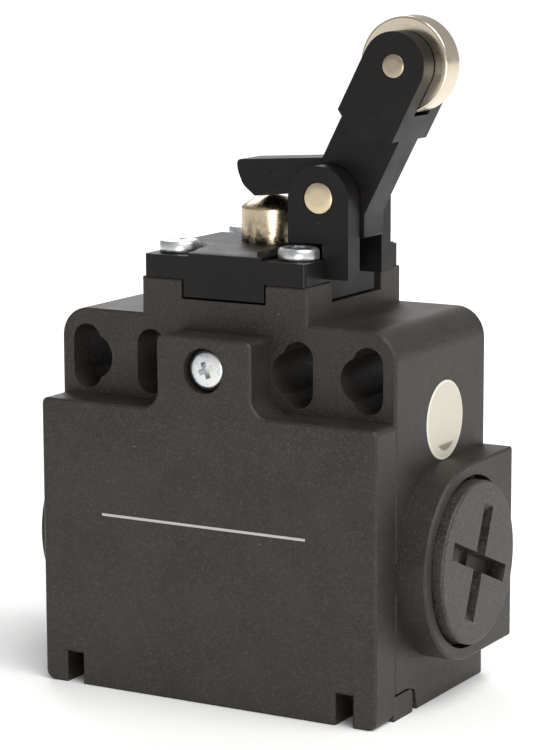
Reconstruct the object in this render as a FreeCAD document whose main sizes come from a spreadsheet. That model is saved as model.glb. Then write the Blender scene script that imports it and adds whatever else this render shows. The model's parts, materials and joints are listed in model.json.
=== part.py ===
import FreeCAD, Part
import Sketcher
import math
import os
from FreeCAD import Placement, Rotation, Vector

# Roller lever limit switch with two side conduit entries, in millimetres.
# X runs to the right, Y to the back and Z up. The origin is under the middle of the
# switch at its bottom face. It is fixed with its back (+Y) against a flat surface.

doc = FreeCAD.newDocument("RollerLimitSwitch")
sheet = doc.addObject("Spreadsheet::Sheet", "Sizes")

driving_sizes = {
    # moulded base
    "base_width": 50.0,
    "shoulder_height": 50.0,
    "shoulder_radius": 4.0,
    "neck_width": 24.7,
    "neck_height": 4.8,
    "side_wall": 2.6,
    "rear_wall": 2.5,
    "floor_wall": 2.6,
    "cavity_height": 34.2,
    "cavity_chamfer": 4.2,
    "cavity_corner": 1.5,
    "edge_softening": 0.3,
    # fixing holes: an upright slot with a round relief on its inner side
    "outer_slot_pitch": 42.0,
    "inner_slot_pitch": 22.0,
    "slot_drop": 6.4,
    "slot_width": 4.3,
    "slot_length": 8.6,
    "relief_diameter": 6.0,
    "relief_shift": 0.9,
    # conduit entries
    "boss_reach": 4.2,
    "boss_rim": 1.6,
    "entry_height": 18.7,
    "entry_shift": 0.1,
    "entry_bore": 18.8,
    "seat_clearance": 0.6,
    "seat_depth": 1.9,
    # front cover
    "cover_thickness": 5.2,
    "cover_height": 38.5,
    "cover_corner": 1.3,
    "cover_wall": 2.2,
    "tab_width": 14.0,
    "tab_rise": 4.2,
    "tab_foot_radius": 2.5,
    "tab_corner": 0.9,
    "hook_length": 5.0,
    "hook_height": 3.2,
    "hook_width": 3.4,
    "hook_clearance": 0.3,
    "notch_width": 2.5,
    "notch_height": 4.2,
    "spigot_height": 1.8,
    "spigot_wall": 1.2,
    "spigot_clearance": 0.3,
    "gasket_width": 1.0,
    "gasket_thickness": 1.0,
    "cover_screw_rise": 5.5,
    "cover_screw_sink": 0.7,
    # head moulding
    "plate_width": 24.0,
    "plate_depth": 25.6,
    "plate_thickness": 3.0,
    "plate_corner": 0.5,
    "pad_front_width": 11.0,
    "pad_side_width": 12.2,
    "pad_step": 0.4,
    "pad_bevel_height": 0.6,
    "pad_bevel_run": 1.2,
    "pad_inner_radius": 2.4,
    "tongue_width": 12.0,
    "tongue_drop": 2.3,
    "tongue_depth": 1.8,
    "tongue_clearance": 0.3,
    "head_screw_pitch": 17.8,
    "spigot_diameter": 12.0,
    "spigot_depth": 4.6,
    "seal_thickness": 2.0,
    "seal_diameter": 10.4,
    # lever bracket and lever
    "pivot_offset": 10.9,
    "pivot_height": 65.6,
    "pivot_pin_diameter": 4.15,
    "ear_radius": 4.4,
    "front_ear_drop": 0.25,
    "ear_foot_height": 55.3,
    "ear_gap": 6.1,
    "front_ear_thickness": 3.1,
    "rear_ear_thickness": 2.6,
    "rear_ear_foot": 0.8,
    "lever_setback": 1.35,
    "lever_thickness": 5.3,
    "fork_setback": 0.15,
    "arm_width": 8.7,
    "arm_tilt": 27.4,
    "roller_right": 9.88,
    "roller_up": 16.97,
    "fork_width": 9.7,
    "fork_slot": 4.0,
    "fork_clearance": 0.45,
    "cheek_length": 8.6,
    "cheek_foot": 2.4,
    "heel_right": 4.85,
    "heel_left": 4.4,
    "heel_drop": 5.25,
    "finger_reach": 13.97,
    "finger_top": 4.15,
    "finger_top_rise": 0.75,
    "finger_bottom": 0.55,
    "finger_tip_drop": 1.25,
    "finger_nose_drop": 3.3,
    "finger_nose_run": 0.82,
    "finger_under_run": 2.62,
    "finger_corner": 0.5,
    "heel_corner": 1.0,
    "cheek_mark_reach": 5.4,
    "mark_diameter": 2.3,
    "mark_depth": 0.1,
    # roller
    "roller_diameter": 12.3,
    "roller_width": 3.6,
    "roller_rounding": 0.25,
    "roller_hub_diameter": 5.6,
    "roller_hub_width": 3.75,
    "roller_pin_diameter": 3.16,
    "pin_proud": 0.05,
    # plunger
    "plunger_diameter": 8.3,
    "finger_play": 0.15625,
    "plunger_dome_radius": 6.2,
    "plunger_collar_diameter": 9.5,
    "plunger_collar_thickness": 1.5,
    "plunger_collar_gap": 0.3,
    "plunger_rod_diameter": 4.8,
    "plunger_travel": 4.0,
    "guide_bore": 10.2,
    "spring_shelf": 3.7,
    "running_clearance": 0.06,
    "face_gap": 0.3,
    # conduit plugs
    "plug_flange_lip": 1.3,
    "plug_flange_thickness": 2.1,
    "plug_shank_clearance": 0.15,
    "plug_shank_length": 7.0,
    "plug_hollow_diameter": 12.5,
    "plug_hollow_depth": 3.2,
    "plug_slot_width": 2.3,
    "plug_slot_depth": 3.0,
    "plug_long_slot": 17.2,
    "plug_short_slot": 14.8,
    "plug_turn": 22.0,
    "plug_seal_thickness": 1.1,
    # paper seal on the side
    "label_diameter": 10.4,
    "label_thickness": 0.12,
    "label_gap": 0.05,
    "label_setback": 13.7,
    # contact block
    "block_side_gap": 2.4,
    "block_end_gap": 2.6,
    "block_plate": 2.0,
    "chamber_half_width": 10.4,
    "chamber_half_depth": 4.6,
    "chamber_wall": 1.2,
    "block_cap_thickness": 1.4,
    "strip_thickness": 0.8,
    "strip_width": 4.0,
    "contact_half_pitch": 7.2,
    "contact_tip_diameter": 2.6,
    "contact_tip_height": 0.6,
    "terminal_width": 7.4,
    "terminal_platform": 6.2,
    "carrier_half_width": 3.4,
    "carrier_half_depth": 4.2,
    "carrier_head_room": 1.5,
    "carrier_foot": 2.1,
    "bridge_width": 3.0,
    "bridge_half_length": 8.7,
    "contact_spring_length": 3.8,
    "contact_spring_diameter": 2.6,
    "contact_wire": 0.35,
    "return_wire": 0.55,
    "return_coils": 4.0,
    "block_screw_offset": 16.5,
    "block_screw_gap": 0.4,
    "lower_screw_gap": 2.8,
    "block_screw_head": 4.4,
    # screws
    "small_shank": 2.8,
    "small_head": 5.4,
    "small_head_height": 1.7,
    "small_screw_length": 7.8,
    "hole_clearance": 0.1,
    "cover_screw_head": 5.2,
    "cover_screw_shank": 2.9,
    "cover_screw_length": 9.0,
    "terminal_screw_head": 6.0,
    "terminal_screw_shank": 3.2,
    "terminal_screw_length": 7.2,
    "clamp_plate_size": 6.6,
    "clamp_plate_thickness": 1.0,
    "cross_width": 0.9,
    "cross_length": 3.0,
    "cross_depth": 1.1,
}


class Size:
    """A length or an angle: its present value and the expression that gives it."""

    def __init__(self, value, text):
        self.value = value
        self.text = text

    def __add__(self, other):
        other = as_size(other)
        return Size(self.value + other.value, "(%s + %s)" % (self.text, other.text))

    def __radd__(self, other):
        return as_size(other) + self

    def __sub__(self, other):
        other = as_size(other)
        return Size(self.value - other.value, "(%s - %s)" % (self.text, other.text))

    def __rsub__(self, other):
        return as_size(other) - self

    def __mul__(self, other):
        other = as_size(other)
        return Size(self.value * other.value, "(%s * %s)" % (self.text, other.text))

    def __rmul__(self, other):
        return as_size(other) * self

    def __truediv__(self, other):
        other = as_size(other)
        return Size(self.value / other.value, "(%s / %s)" % (self.text, other.text))

    def __neg__(self):
        return Size(-self.value, "(0 - %s)" % self.text)


def as_size(number):
    if isinstance(number, Size):
        return number
    return Size(float(number), "(%r)" % float(number))


def sine(angle):
    return Size(math.sin(math.radians(angle.value)), "sin(%s)" % angle.text)


def cosine(angle):
    return Size(math.cos(math.radians(angle.value)), "cos(%s)" % angle.text)


class Sizes:
    pass


S = Sizes()
for row, (alias, number) in enumerate(driving_sizes.items(), start=1):
    sheet.set("A%d" % row, alias)
    sheet.set("B%d" % row, str(number))
    sheet.setAlias("B%d" % row, alias)
    setattr(S, alias, Size(number, "Sizes.%s" % alias))
doc.recompute()


# Planes and axes that the pieces share
flange_diameter = S.entry_bore + S.plug_flange_lip * 2
seat_diameter = flange_diameter + S.seat_clearance * 2
boss_radius = seat_diameter / 2 + S.boss_rim
base_depth = boss_radius * 2
half_width = S.base_width / 2
front = S.cover_thickness / 2 - base_depth / 2
rear = front + base_depth
cover_face = front - S.cover_thickness
axis_y = front + base_depth / 2
screw_height = S.cover_height + S.cover_screw_rise
tab_top = screw_height + S.tab_rise
neck_top = S.shoulder_height + S.neck_height
plate_top = neck_top + S.plate_thickness
pad_top = plate_top + S.pad_step + S.pad_bevel_height
boss_face = half_width + S.boss_reach
entry_y = front + boss_radius + S.entry_shift
lever_y = axis_y - S.lever_setback
fork_y = lever_y + S.fork_setback
ear_front = lever_y - S.ear_gap / 2
ear_rear = lever_y + S.ear_gap / 2
cavity_half = half_width - S.side_wall
cavity_top = S.floor_wall + S.cavity_height
cavity_rear = rear - S.rear_wall
shelf_top = cavity_top + S.spring_shelf
spigot_bottom = neck_top - S.spigot_depth
collar_top = spigot_bottom - S.plunger_collar_gap
collar_bottom = collar_top - S.plunger_collar_thickness
pin_radius = S.pivot_pin_diameter / 2
dome_drop = Size(math.sqrt(S.plunger_dome_radius.value ** 2 - S.plunger_diameter.value ** 2 / 4),
                 "sqrt(Sizes.plunger_dome_radius ^ 2 - Sizes.plunger_diameter ^ 2 / 4)")
plunger_rim = S.pivot_height - S.finger_bottom - S.finger_play - S.plunger_dome_radius + dome_drop
block_bottom = S.floor_wall + S.block_end_gap
block_top = cavity_top - S.block_end_gap
rear_gap = base_depth / 2 - S.rear_wall - S.block_plate - S.chamber_half_depth
block_half_width = cavity_half - S.block_side_gap
slot_height = S.shoulder_height - S.slot_drop
upper_screw = block_top - S.block_screw_head / 2
upper_terminal = upper_screw - S.block_screw_head / 2 - S.block_screw_gap
lower_terminal = block_bottom + S.terminal_platform
lower_screw = lower_terminal + S.strip_thickness + S.block_screw_head / 2 + S.lower_screw_gap
lower_tip = lower_terminal + S.strip_thickness + S.contact_tip_height + S.plunger_travel + S.face_gap
carrier_top = block_top - S.chamber_wall - S.carrier_head_room
carrier_bottom = lower_tip + S.contact_tip_height - S.carrier_foot


def bind(item, prop, size):
    item.setExpression(prop, as_size(size).text)


def move_to(item, base, rotation=None):
    if rotation is not None:
        item.Placement = Placement(Vector(), rotation)
    for letter, size in zip("xyz", base):
        bind(item, "Placement.Base." + letter, size)
    return item


# Sketch helpers
def new_body(label, base=None, rotation=None):
    body = doc.addObject("PartDesign::Body", label + "_body")
    body.Label = label
    if base is not None:
        move_to(body, base, rotation)
    return body


def new_sketch(body, name, role, offset=None):
    sketch = body.newObject("Sketcher::SketchObject", name)
    plane = [item for item in body.Origin.OriginFeatures if item.Role == role][0]
    sketch.AttachmentSupport = [(plane, "")]
    sketch.MapMode = "FlatFace"
    if offset is not None:
        bind(sketch, "AttachmentOffset.Base.z", offset)
    return sketch


def dimension(sketch, kind, *where):
    value = as_size(where[-1])
    index = sketch.addConstraint(Sketcher.Constraint(kind, *where[:-1], value.value))
    sketch.setExpression("Constraints[%d]" % index, value.text)


def locate(sketch, geometry, point, across, up):
    dimension(sketch, "DistanceX", -1, 1, geometry, point, across)
    dimension(sketch, "DistanceY", -1, 1, geometry, point, up)


def arc_between(centre, radius, start, end):
    begin = math.atan2(start.y - centre.y, start.x - centre.x)
    finish = math.atan2(end.y - centre.y, end.x - centre.x)
    if finish < begin:
        finish += 2 * math.pi
    return Part.ArcOfCircle(Part.Circle(centre, Vector(0, 0, 1), radius), begin, finish)


def outline(sketch, corners):
    """Closed outline through corners (across, up) or (across, up, corner radius)."""
    count = len(corners)
    first = sketch.GeometryCount
    points = [Vector(as_size(c[0]).value, as_size(c[1]).value, 0) for c in corners]
    entry = []
    leave = []
    middle = []
    for i, corner in enumerate(corners):
        back = (points[i - 1] - points[i]).normalize()
        ahead = (points[(i + 1) % count] - points[i]).normalize()
        if len(corner) == 2:
            entry.append(points[i])
            leave.append(points[i])
            middle.append(None)
            continue
        radius = as_size(corner[2]).value
        half = back.getAngle(ahead) / 2
        entry.append(points[i] + back * (radius / math.tan(half)))
        leave.append(points[i] + ahead * (radius / math.tan(half)))
        middle.append(points[i] + (back + ahead).normalize() * (radius / math.sin(half)))
    for i in range(count):
        sketch.addGeometry(Part.LineSegment(leave[i], entry[(i + 1) % count]), False)
    for i, corner in enumerate(corners):
        before = first + (i - 1) % count
        after = first + i
        if len(corner) == 2:
            sketch.addConstraint(Sketcher.Constraint("Coincident", before, 2, after, 1))
            locate(sketch, after, 1, corner[0], corner[1])
            continue
        turn = (points[i] - points[i - 1]).cross(points[(i + 1) % count] - points[i]).z
        start, end = (entry[i], leave[i]) if turn > 0 else (leave[i], entry[i])
        first_end, last_end = (1, 2) if turn > 0 else (2, 1)
        radius = as_size(corner[2]).value
        arc = sketch.addGeometry(arc_between(middle[i], radius, start, end), False)
        mark = sketch.addGeometry(Part.Point(points[i]), True)
        locate(sketch, mark, 1, corner[0], corner[1])
        sketch.addConstraint(Sketcher.Constraint("PointOnObject", mark, 1, before))
        sketch.addConstraint(Sketcher.Constraint("PointOnObject", mark, 1, after))
        sketch.addConstraint(Sketcher.Constraint("Tangent", before, 2, arc, first_end))
        sketch.addConstraint(Sketcher.Constraint("Tangent", arc, last_end, after, 1))
        dimension(sketch, "Radius", arc, corner[2])


def rectangle(sketch, left, bottom, right, top, *radius):
    outline(sketch, [(left, bottom, *radius), (right, bottom, *radius),
                     (right, top, *radius), (left, top, *radius)])


def round_hole(sketch, across, up, diameter):
    centre = Vector(as_size(across).value, as_size(up).value, 0)
    circle = Part.Circle(centre, Vector(0, 0, 1), as_size(diameter).value / 2)
    index = sketch.addGeometry(circle, False)
    locate(sketch, index, 3, across, up)
    dimension(sketch, "Diameter", index, diameter)


def upright_slot(sketch, across, up, width, length):
    """Slot with round ends, standing upright about its centre."""
    x = as_size(across).value
    z = as_size(up).value
    radius = as_size(width).value / 2
    rise = (length - width) / 2
    right = sketch.addGeometry(Part.LineSegment(Vector(x + radius, z - rise.value, 0),
                                                Vector(x + radius, z + rise.value, 0)), False)
    upper = sketch.addGeometry(Part.ArcOfCircle(
        Part.Circle(Vector(x, z + rise.value, 0), Vector(0, 0, 1), radius), 0, math.pi), False)
    left = sketch.addGeometry(Part.LineSegment(Vector(x - radius, z + rise.value, 0),
                                               Vector(x - radius, z - rise.value, 0)), False)
    lower = sketch.addGeometry(Part.ArcOfCircle(
        Part.Circle(Vector(x, z - rise.value, 0), Vector(0, 0, 1), radius), math.pi, 2 * math.pi), False)
    ring = [right, upper, left, lower]
    for i, piece in enumerate(ring):
        sketch.addConstraint(Sketcher.Constraint("Tangent", piece, 2, ring[(i + 1) % 4], 1))
    locate(sketch, upper, 3, across, up + rise)
    locate(sketch, lower, 3, across, up - rise)
    dimension(sketch, "Radius", upper, width / 2)
    dimension(sketch, "Radius", lower, width / 2)


def sweep_along(body, kind, name, sketch, length, reverse=False, symmetric=False, taper=None):
    feature = body.newObject(kind, name)
    feature.Profile = sketch
    bind(feature, "Length", length)
    feature.Reversed = reverse
    if symmetric:
        feature.SideType = "Symmetric"
    if taper is not None:
        bind(feature, "TaperAngle", taper)
    return feature


def pad(body, name, sketch, length, **options):
    return sweep_along(body, "PartDesign::Pad", name, sketch, length, **options)


def pocket(body, name, sketch, length, **options):
    """Cut that has to take material away: the direction is checked by volume."""
    before = solid_volume(body)
    feature = sweep_along(body, "PartDesign::Pocket", name, sketch, length, **options)
    if solid_volume(body) >= before - 1e-6:
        raise ValueError("%s cuts nothing" % name)
    return feature


def solid_volume(body):
    doc.recompute()
    return body.Shape.Volume


def revolve(body, name, sketch, axis):
    feature = body.newObject("PartDesign::Revolution", name)
    feature.Profile = sketch
    feature.ReferenceAxis = (sketch, [axis])
    feature.Angle = 360
    return feature


def soften(body, name, feature, size, wanted):
    """Small chamfer on the edges of a feature that the test picks."""
    doc.recompute()
    edges = ["Edge%d" % number for number, edge in enumerate(feature.Shape.Edges, start=1) if wanted(edge)]
    bevel = body.newObject("PartDesign::Chamfer", name)
    bevel.Base = (feature, edges)
    bind(bevel, "Size", size)
    doc.recompute()
    return bevel


def lies_at(edge, letter, size):
    low = getattr(edge.BoundBox, letter + "Min")
    high = getattr(edge.BoundBox, letter + "Max")
    return abs(low - as_size(size).value) < 1e-4 and abs(high - as_size(size).value) < 1e-4


# Solid helpers
turned = {
    "+X": Rotation(Vector(0, 1, 0), 90),
    "-X": Rotation(Vector(0, 1, 0), -90),
    "+Y": Rotation(Vector(1, 0, 0), -90),
    "-Y": Rotation(Vector(1, 0, 0), 90),
    "+Z": Rotation(),
    "-Z": Rotation(Vector(1, 0, 0), 180),
}


def cylinder(name, diameter, height, base, direction="+Z"):
    item = doc.addObject("Part::Cylinder", name)
    bind(item, "Radius", diameter / 2)
    bind(item, "Height", height)
    return move_to(item, base, turned[direction])


def box(name, low, high):
    item = doc.addObject("Part::Box", name)
    for prop, start, end in zip(("Length", "Width", "Height"), low, high):
        bind(item, prop, end - start)
    return move_to(item, low)


def fuse(name, pieces):
    item = doc.addObject("Part::MultiFuse", name)
    item.Shapes = pieces
    item.Refine = True
    return item


def cut(name, stock, tools):
    tool = tools[0] if len(tools) == 1 else fuse(name + "_tools", tools)
    item = doc.addObject("Part::Cut", name)
    item.Base = stock
    item.Tool = tool
    item.Refine = True
    return item


def group(name, pieces):
    item = doc.addObject("Part::Compound", name)
    item.Links = pieces
    return item


def cross_recess(name, base, direction, turn=0):
    """Cross-shaped driver recess, cut inwards from the face of a screw head."""
    arms = []
    for number, angle in enumerate((turn, turn + 90)):
        arm = doc.addObject("Part::Box", "%s_arm%d" % (name, number))
        bind(arm, "Length", S.cross_length)
        bind(arm, "Width", S.cross_width)
        bind(arm, "Height", S.cross_depth * 2)
        spin = turned[direction].multiply(Rotation(Vector(0, 0, 1), angle))
        corner = spin.multVec(Vector(1, 0, 0))
        side = spin.multVec(Vector(0, 1, 0))
        down = spin.multVec(Vector(0, 0, 1))
        place = []
        for axis in range(3):
            place.append(base[axis] - S.cross_length / 2 * corner[axis]
                         - S.cross_width / 2 * side[axis] - S.cross_depth * down[axis])
        arms.append(move_to(arm, place, spin))
    return arms


def pan_screw(name, seat, direction, head, head_height, shank, length, turn=0):
    """Pan-head screw: the head stands on the seat along the direction, the shank goes in."""
    way = turned[direction].multVec(Vector(0, 0, 1))
    inward = {"+": "-", "-": "+"}[direction[0]] + direction[1]
    cap = cylinder(name + "_cap", head, head_height, seat, direction)
    doc.recompute()
    rounded = doc.addObject("Part::Chamfer", name + "_rounded")
    rounded.Base = cap
    top = [number for number, edge in enumerate(cap.Shape.Edges, start=1)
           if abs((edge.BoundBox.Center - cap.Shape.CenterOfMass).dot(way)
                  - head_height.value / 2) < 1e-4]
    rounded.Edges = [(number, head_height.value * 0.45, head_height.value * 0.45) for number in top]
    stem = cylinder(name + "_stem", shank, length, seat, inward)
    face = [seat[axis] + head_height * way[axis] for axis in range(3)]
    recess = cross_recess(name + "_cross", face, direction, turn)
    return cut(name, fuse(name + "_blank", [rounded, stem]), recess)


finished = []


def finish(item, label):
    item.Label = label
    finished.append(item)
    return item


# Moulded base with its cavity, fixing holes, neck and conduit bosses
def cavity_corners(grow):
    """Outline of the cavity, moved outwards by grow, with its two chamfered lower corners."""
    side = cavity_half + grow
    floor = S.floor_wall - grow
    roof = cavity_top + grow
    chamfer = S.cavity_chamfer + grow * (2 - math.sqrt(2))
    return [(-side + chamfer, floor), (side - chamfer, floor), (side, floor + chamfer),
            (side, roof, S.cavity_corner), (-side, roof, S.cavity_corner), (-side, floor + chamfer)]


def base_housing():
    body = new_body("base_housing")
    face = new_sketch(body, "BaseFace", "XZ_Plane", -front)
    neck = S.neck_width / 2
    outline(face, [
        (-half_width, 0, S.edge_softening), (half_width, 0, S.edge_softening),
        (half_width, S.shoulder_height, S.shoulder_radius), (neck, S.shoulder_height),
        (neck, neck_top), (-neck, neck_top), (-neck, S.shoulder_height),
        (-half_width, S.shoulder_height, S.shoulder_radius)])
    block = pad(body, "BaseBlock", face, base_depth, reverse=True)
    edges = soften(body, "BaseEdges", block, S.edge_softening,
                   lambda edge: lies_at(edge, "Y", front) or lies_at(edge, "Y", rear))

    boss = new_sketch(body, "BossOutline", "YZ_Plane")
    add_boss_outline(boss)
    bosses = pad(body, "ConduitBosses", boss, boss_face * 2, symmetric=True)
    rims = soften(body, "BossRims", bosses, S.edge_softening,
                  lambda edge: lies_at(edge, "X", boss_face) or lies_at(edge, "X", -boss_face))

    opening = new_sketch(body, "CavityOutline", "XZ_Plane", -front)
    outline(opening, cavity_corners(0))
    pocket(body, "Cavity", opening, base_depth - S.rear_wall)

    standoffs = new_sketch(body, "StandoffOutline", "XZ_Plane", -cavity_rear)
    for side, height in ((-1, upper_screw), (1, lower_screw)):
        round_hole(standoffs, S.block_screw_offset * side, height, S.small_shank * 2.2)
    pad(body, "BlockStandoffs", standoffs, rear_gap)
    pilots = new_sketch(body, "StandoffPilots", "XZ_Plane", -(cavity_rear - rear_gap))
    for side, height in ((-1, upper_screw), (1, lower_screw)):
        round_hole(pilots, S.block_screw_offset * side, height, S.small_shank + S.hole_clearance)
    pocket(body, "StandoffHoles", pilots, rear_gap + S.rear_wall / 2)

    slots = new_sketch(body, "SlotOutlines", "XZ_Plane", -front)
    reliefs = new_sketch(body, "ReliefOutlines", "XZ_Plane", -front)
    for pitch in (S.outer_slot_pitch, S.inner_slot_pitch):
        for side in (-1, 1):
            upright_slot(slots, pitch / 2 * side, slot_height, S.slot_width, S.slot_length)
            round_hole(reliefs, (pitch / 2 - S.relief_shift) * side, slot_height, S.relief_diameter)
    pocket(body, "FixingSlots", slots, base_depth)
    pocket(body, "FixingReliefs", reliefs, base_depth)

    seat = new_sketch(body, "SeatOutline", "YZ_Plane", boss_face)
    round_hole(seat, entry_y, S.entry_height, seat_diameter)
    pocket(body, "RightSeat", seat, S.seat_depth)
    other = new_sketch(body, "OtherSeatOutline", "YZ_Plane", -boss_face)
    round_hole(other, entry_y, S.entry_height, seat_diameter)
    pocket(body, "LeftSeat", other, S.seat_depth, reverse=True)
    bore = new_sketch(body, "EntryOutline", "YZ_Plane")
    round_hole(bore, entry_y, S.entry_height, S.entry_bore)
    pocket(body, "ConduitEntries", bore, boss_face * 2, symmetric=True)

    add_neck_cuts(body)
    add_hook_recesses(body)
    finish(body, "base_housing")


def add_boss_outline(sketch):
    """D-shaped boss: round at the front and square at the back face."""
    centre = Vector(entry_y.value, S.entry_height.value, 0)
    radius = boss_radius.value
    low = centre + Vector(0, -radius, 0)
    high = centre + Vector(0, radius, 0)
    back = rear.value
    bottom = sketch.addGeometry(Part.LineSegment(low, Vector(back, low.y, 0)), False)
    wall = sketch.addGeometry(Part.LineSegment(Vector(back, low.y, 0), Vector(back, high.y, 0)), False)
    top = sketch.addGeometry(Part.LineSegment(Vector(back, high.y, 0), high), False)
    nose = sketch.addGeometry(Part.ArcOfCircle(Part.Circle(centre, Vector(0, 0, 1), radius),
                                               math.pi / 2, math.pi * 3 / 2), False)
    sketch.addConstraint(Sketcher.Constraint("Coincident", bottom, 2, wall, 1))
    sketch.addConstraint(Sketcher.Constraint("Coincident", wall, 2, top, 1))
    sketch.addConstraint(Sketcher.Constraint("Tangent", top, 2, nose, 1))
    sketch.addConstraint(Sketcher.Constraint("Tangent", nose, 2, bottom, 1))
    locate(sketch, nose, 3, entry_y, S.entry_height)
    dimension(sketch, "Radius", nose, boss_radius)
    locate(sketch, wall, 1, rear, S.entry_height - boss_radius)
    dimension(sketch, "DistanceX", -1, 1, wall, 2, rear)
    sketch.addConstraint(Sketcher.Constraint("Horizontal", top))


def add_neck_cuts(body):
    """Bore for the plunger, spring shelf, screw holes and the notches for the head's tongues."""
    mouth = new_sketch(body, "NeckMouth", "XY_Plane", neck_top)
    round_hole(mouth, 0, axis_y, S.spigot_diameter + S.tongue_clearance * 2)
    pocket(body, "NeckCounterbore", mouth, S.spigot_depth + S.hole_clearance)
    guide = new_sketch(body, "GuideOutline", "XY_Plane", neck_top)
    round_hole(guide, 0, axis_y, S.guide_bore)
    pocket(body, "SpringChamber", guide, neck_top - shelf_top)
    rod = new_sketch(body, "RodOutline", "XY_Plane", neck_top)
    round_hole(rod, 0, axis_y, S.plunger_rod_diameter + S.tongue_clearance * 2)
    pocket(body, "RodHole", rod, neck_top - cavity_top + S.side_wall)

    reach = S.head_screw_pitch / 2
    pilots = new_sketch(body, "HeadPilots", "XY_Plane", neck_top)
    for side in (-1, 1):
        for depth in (-1, 1):
            round_hole(pilots, reach * side, axis_y + reach * depth, S.small_shank + S.hole_clearance)
    pocket(body, "HeadScrewHoles", pilots, S.small_screw_length - S.plate_thickness + S.hole_clearance * 2)

    notch = new_sketch(body, "TongueNotches", "XY_Plane", neck_top)
    half = S.tongue_width / 2 + S.tongue_clearance
    inner_x = S.plate_width / 2 - S.tongue_depth - S.tongue_clearance
    inner_y = S.plate_depth / 2 - S.tongue_depth - S.tongue_clearance
    for side in (-1, 1):
        left, right = sorted((inner_x * side, S.base_width / 2 * side), key=lambda size: size.value)
        rectangle(notch, left, axis_y - half, right, axis_y + half + S.tongue_clearance * 3)
        near, far = sorted((axis_y + inner_y * side, axis_y + base_depth * side), key=lambda size: size.value)
        rectangle(notch, -half, near, half, far)
    pocket(body, "Notches", notch, S.tongue_drop + S.tongue_clearance)

    hole = new_sketch(body, "CoverPilot", "XZ_Plane", -front)
    round_hole(hole, 0, screw_height, S.cover_screw_shank + S.hole_clearance)
    seat = cover_face + S.cover_screw_sink + S.small_head_height
    pocket(body, "CoverScrewHole", hole, S.cover_screw_length - (front - seat) + S.hole_clearance * 2)


def add_hook_recesses(body):
    """Undercut at both lower corners that the cover's hooks swing into."""
    for side, name in ((-1, "Left"), (1, "Right")):
        inner = half_width - S.hook_width - S.hook_clearance / 2
        profile = new_sketch(body, name + "HookOutline", "YZ_Plane", inner * side)
        roof = S.hook_height + S.hook_clearance
        outline(profile, [
            (front - 1, -1), (front + S.hook_length + roof / 2, -1),
            (front + S.hook_length + S.hook_clearance * 2, roof - S.hook_clearance * 2),
            (front + S.hook_length * 0.7, roof), (front - 1, roof)])
        pocket(body, name + "HookRecess", profile, S.hook_width * 2, reverse=side > 0)


base_housing()


# Front cover: hooked in at the bottom, held by one screw through the tab at the top
def front_cover():
    body = new_body("front_cover")
    face = new_sketch(body, "CoverFace", "XZ_Plane", -front)
    tab = S.tab_width / 2
    outer = half_width - S.hook_width
    inner = outer - S.notch_width
    outline(face, [
        (-half_width, 0, S.cover_corner), (-outer, 0), (-outer, S.notch_height), (-inner, S.notch_height),
        (-inner, 0), (inner, 0), (inner, S.notch_height), (outer, S.notch_height), (outer, 0),
        (half_width, 0, S.cover_corner), (half_width, S.cover_height, S.tab_corner),
        (tab, S.cover_height, S.tab_foot_radius), (tab, tab_top, S.tab_corner),
        (-tab, tab_top, S.tab_corner), (-tab, S.cover_height, S.tab_foot_radius),
        (-half_width, S.cover_height, S.tab_corner)])
    plate = pad(body, "CoverPlate", face, S.cover_thickness)
    soften(body, "CoverEdges", plate, S.edge_softening, lambda edge: lies_at(edge, "Y", cover_face))

    hollow = new_sketch(body, "HollowOutline", "XZ_Plane", -front)
    outline(hollow, cavity_corners(-S.spigot_clearance - S.spigot_wall))
    pocket(body, "Hollow", hollow, S.cover_thickness - S.cover_wall, reverse=True)
    rib = new_sketch(body, "SpigotOutline", "XZ_Plane", -front)
    outline(rib, cavity_corners(-S.spigot_clearance))
    outline(rib, cavity_corners(-S.spigot_clearance - S.spigot_wall))
    pad(body, "Spigot", rib, S.spigot_height, reverse=True)
    groove = new_sketch(body, "GrooveOutline", "XZ_Plane", -front)
    outline(groove, cavity_corners(S.gasket_width))
    outline(groove, cavity_corners(0))
    pocket(body, "GasketGroove", groove, S.gasket_thickness, reverse=True)

    for side, name in ((-1, "Left"), (1, "Right")):
        hook = new_sketch(body, name + "HookOutline", "YZ_Plane", outer * side)
        outline(hook, [
            (front - S.edge_softening, 0), (front + S.hook_length, 0, S.edge_softening),
            (front + S.hook_length, S.hook_height, S.edge_softening * 3),
            (front - S.edge_softening, S.hook_height)])
        pad(body, name + "Hook", hook, S.hook_width, reverse=side < 0)

    seat = new_sketch(body, "SeatOutline", "XZ_Plane", -cover_face)
    round_hole(seat, 0, screw_height, S.cover_screw_head + S.edge_softening * 2.4)
    pocket(body, "ScrewSeat", seat, S.cover_screw_sink + S.small_head_height)
    hole = new_sketch(body, "HoleOutline", "XZ_Plane", -cover_face)
    round_hole(hole, 0, screw_height, S.cover_screw_shank + S.hole_clearance * 3)
    pocket(body, "ScrewHole", hole, S.cover_thickness)
    finish(body, "front_cover")

    gasket = new_body("cover_gasket")
    ring = new_sketch(gasket, "GasketOutline", "XZ_Plane", -front)
    outline(ring, cavity_corners(S.gasket_width))
    outline(ring, cavity_corners(0))
    pad(gasket, "GasketRing", ring, S.gasket_thickness)
    finish(gasket, "cover_gasket")

    seat_y = cover_face + S.cover_screw_sink + S.small_head_height
    finish(pan_screw("CoverScrew", (0, seat_y, screw_height), "-Y", S.cover_screw_head,
                     S.small_head_height, S.cover_screw_shank, S.cover_screw_length, 20), "cover_screw")


front_cover()


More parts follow.
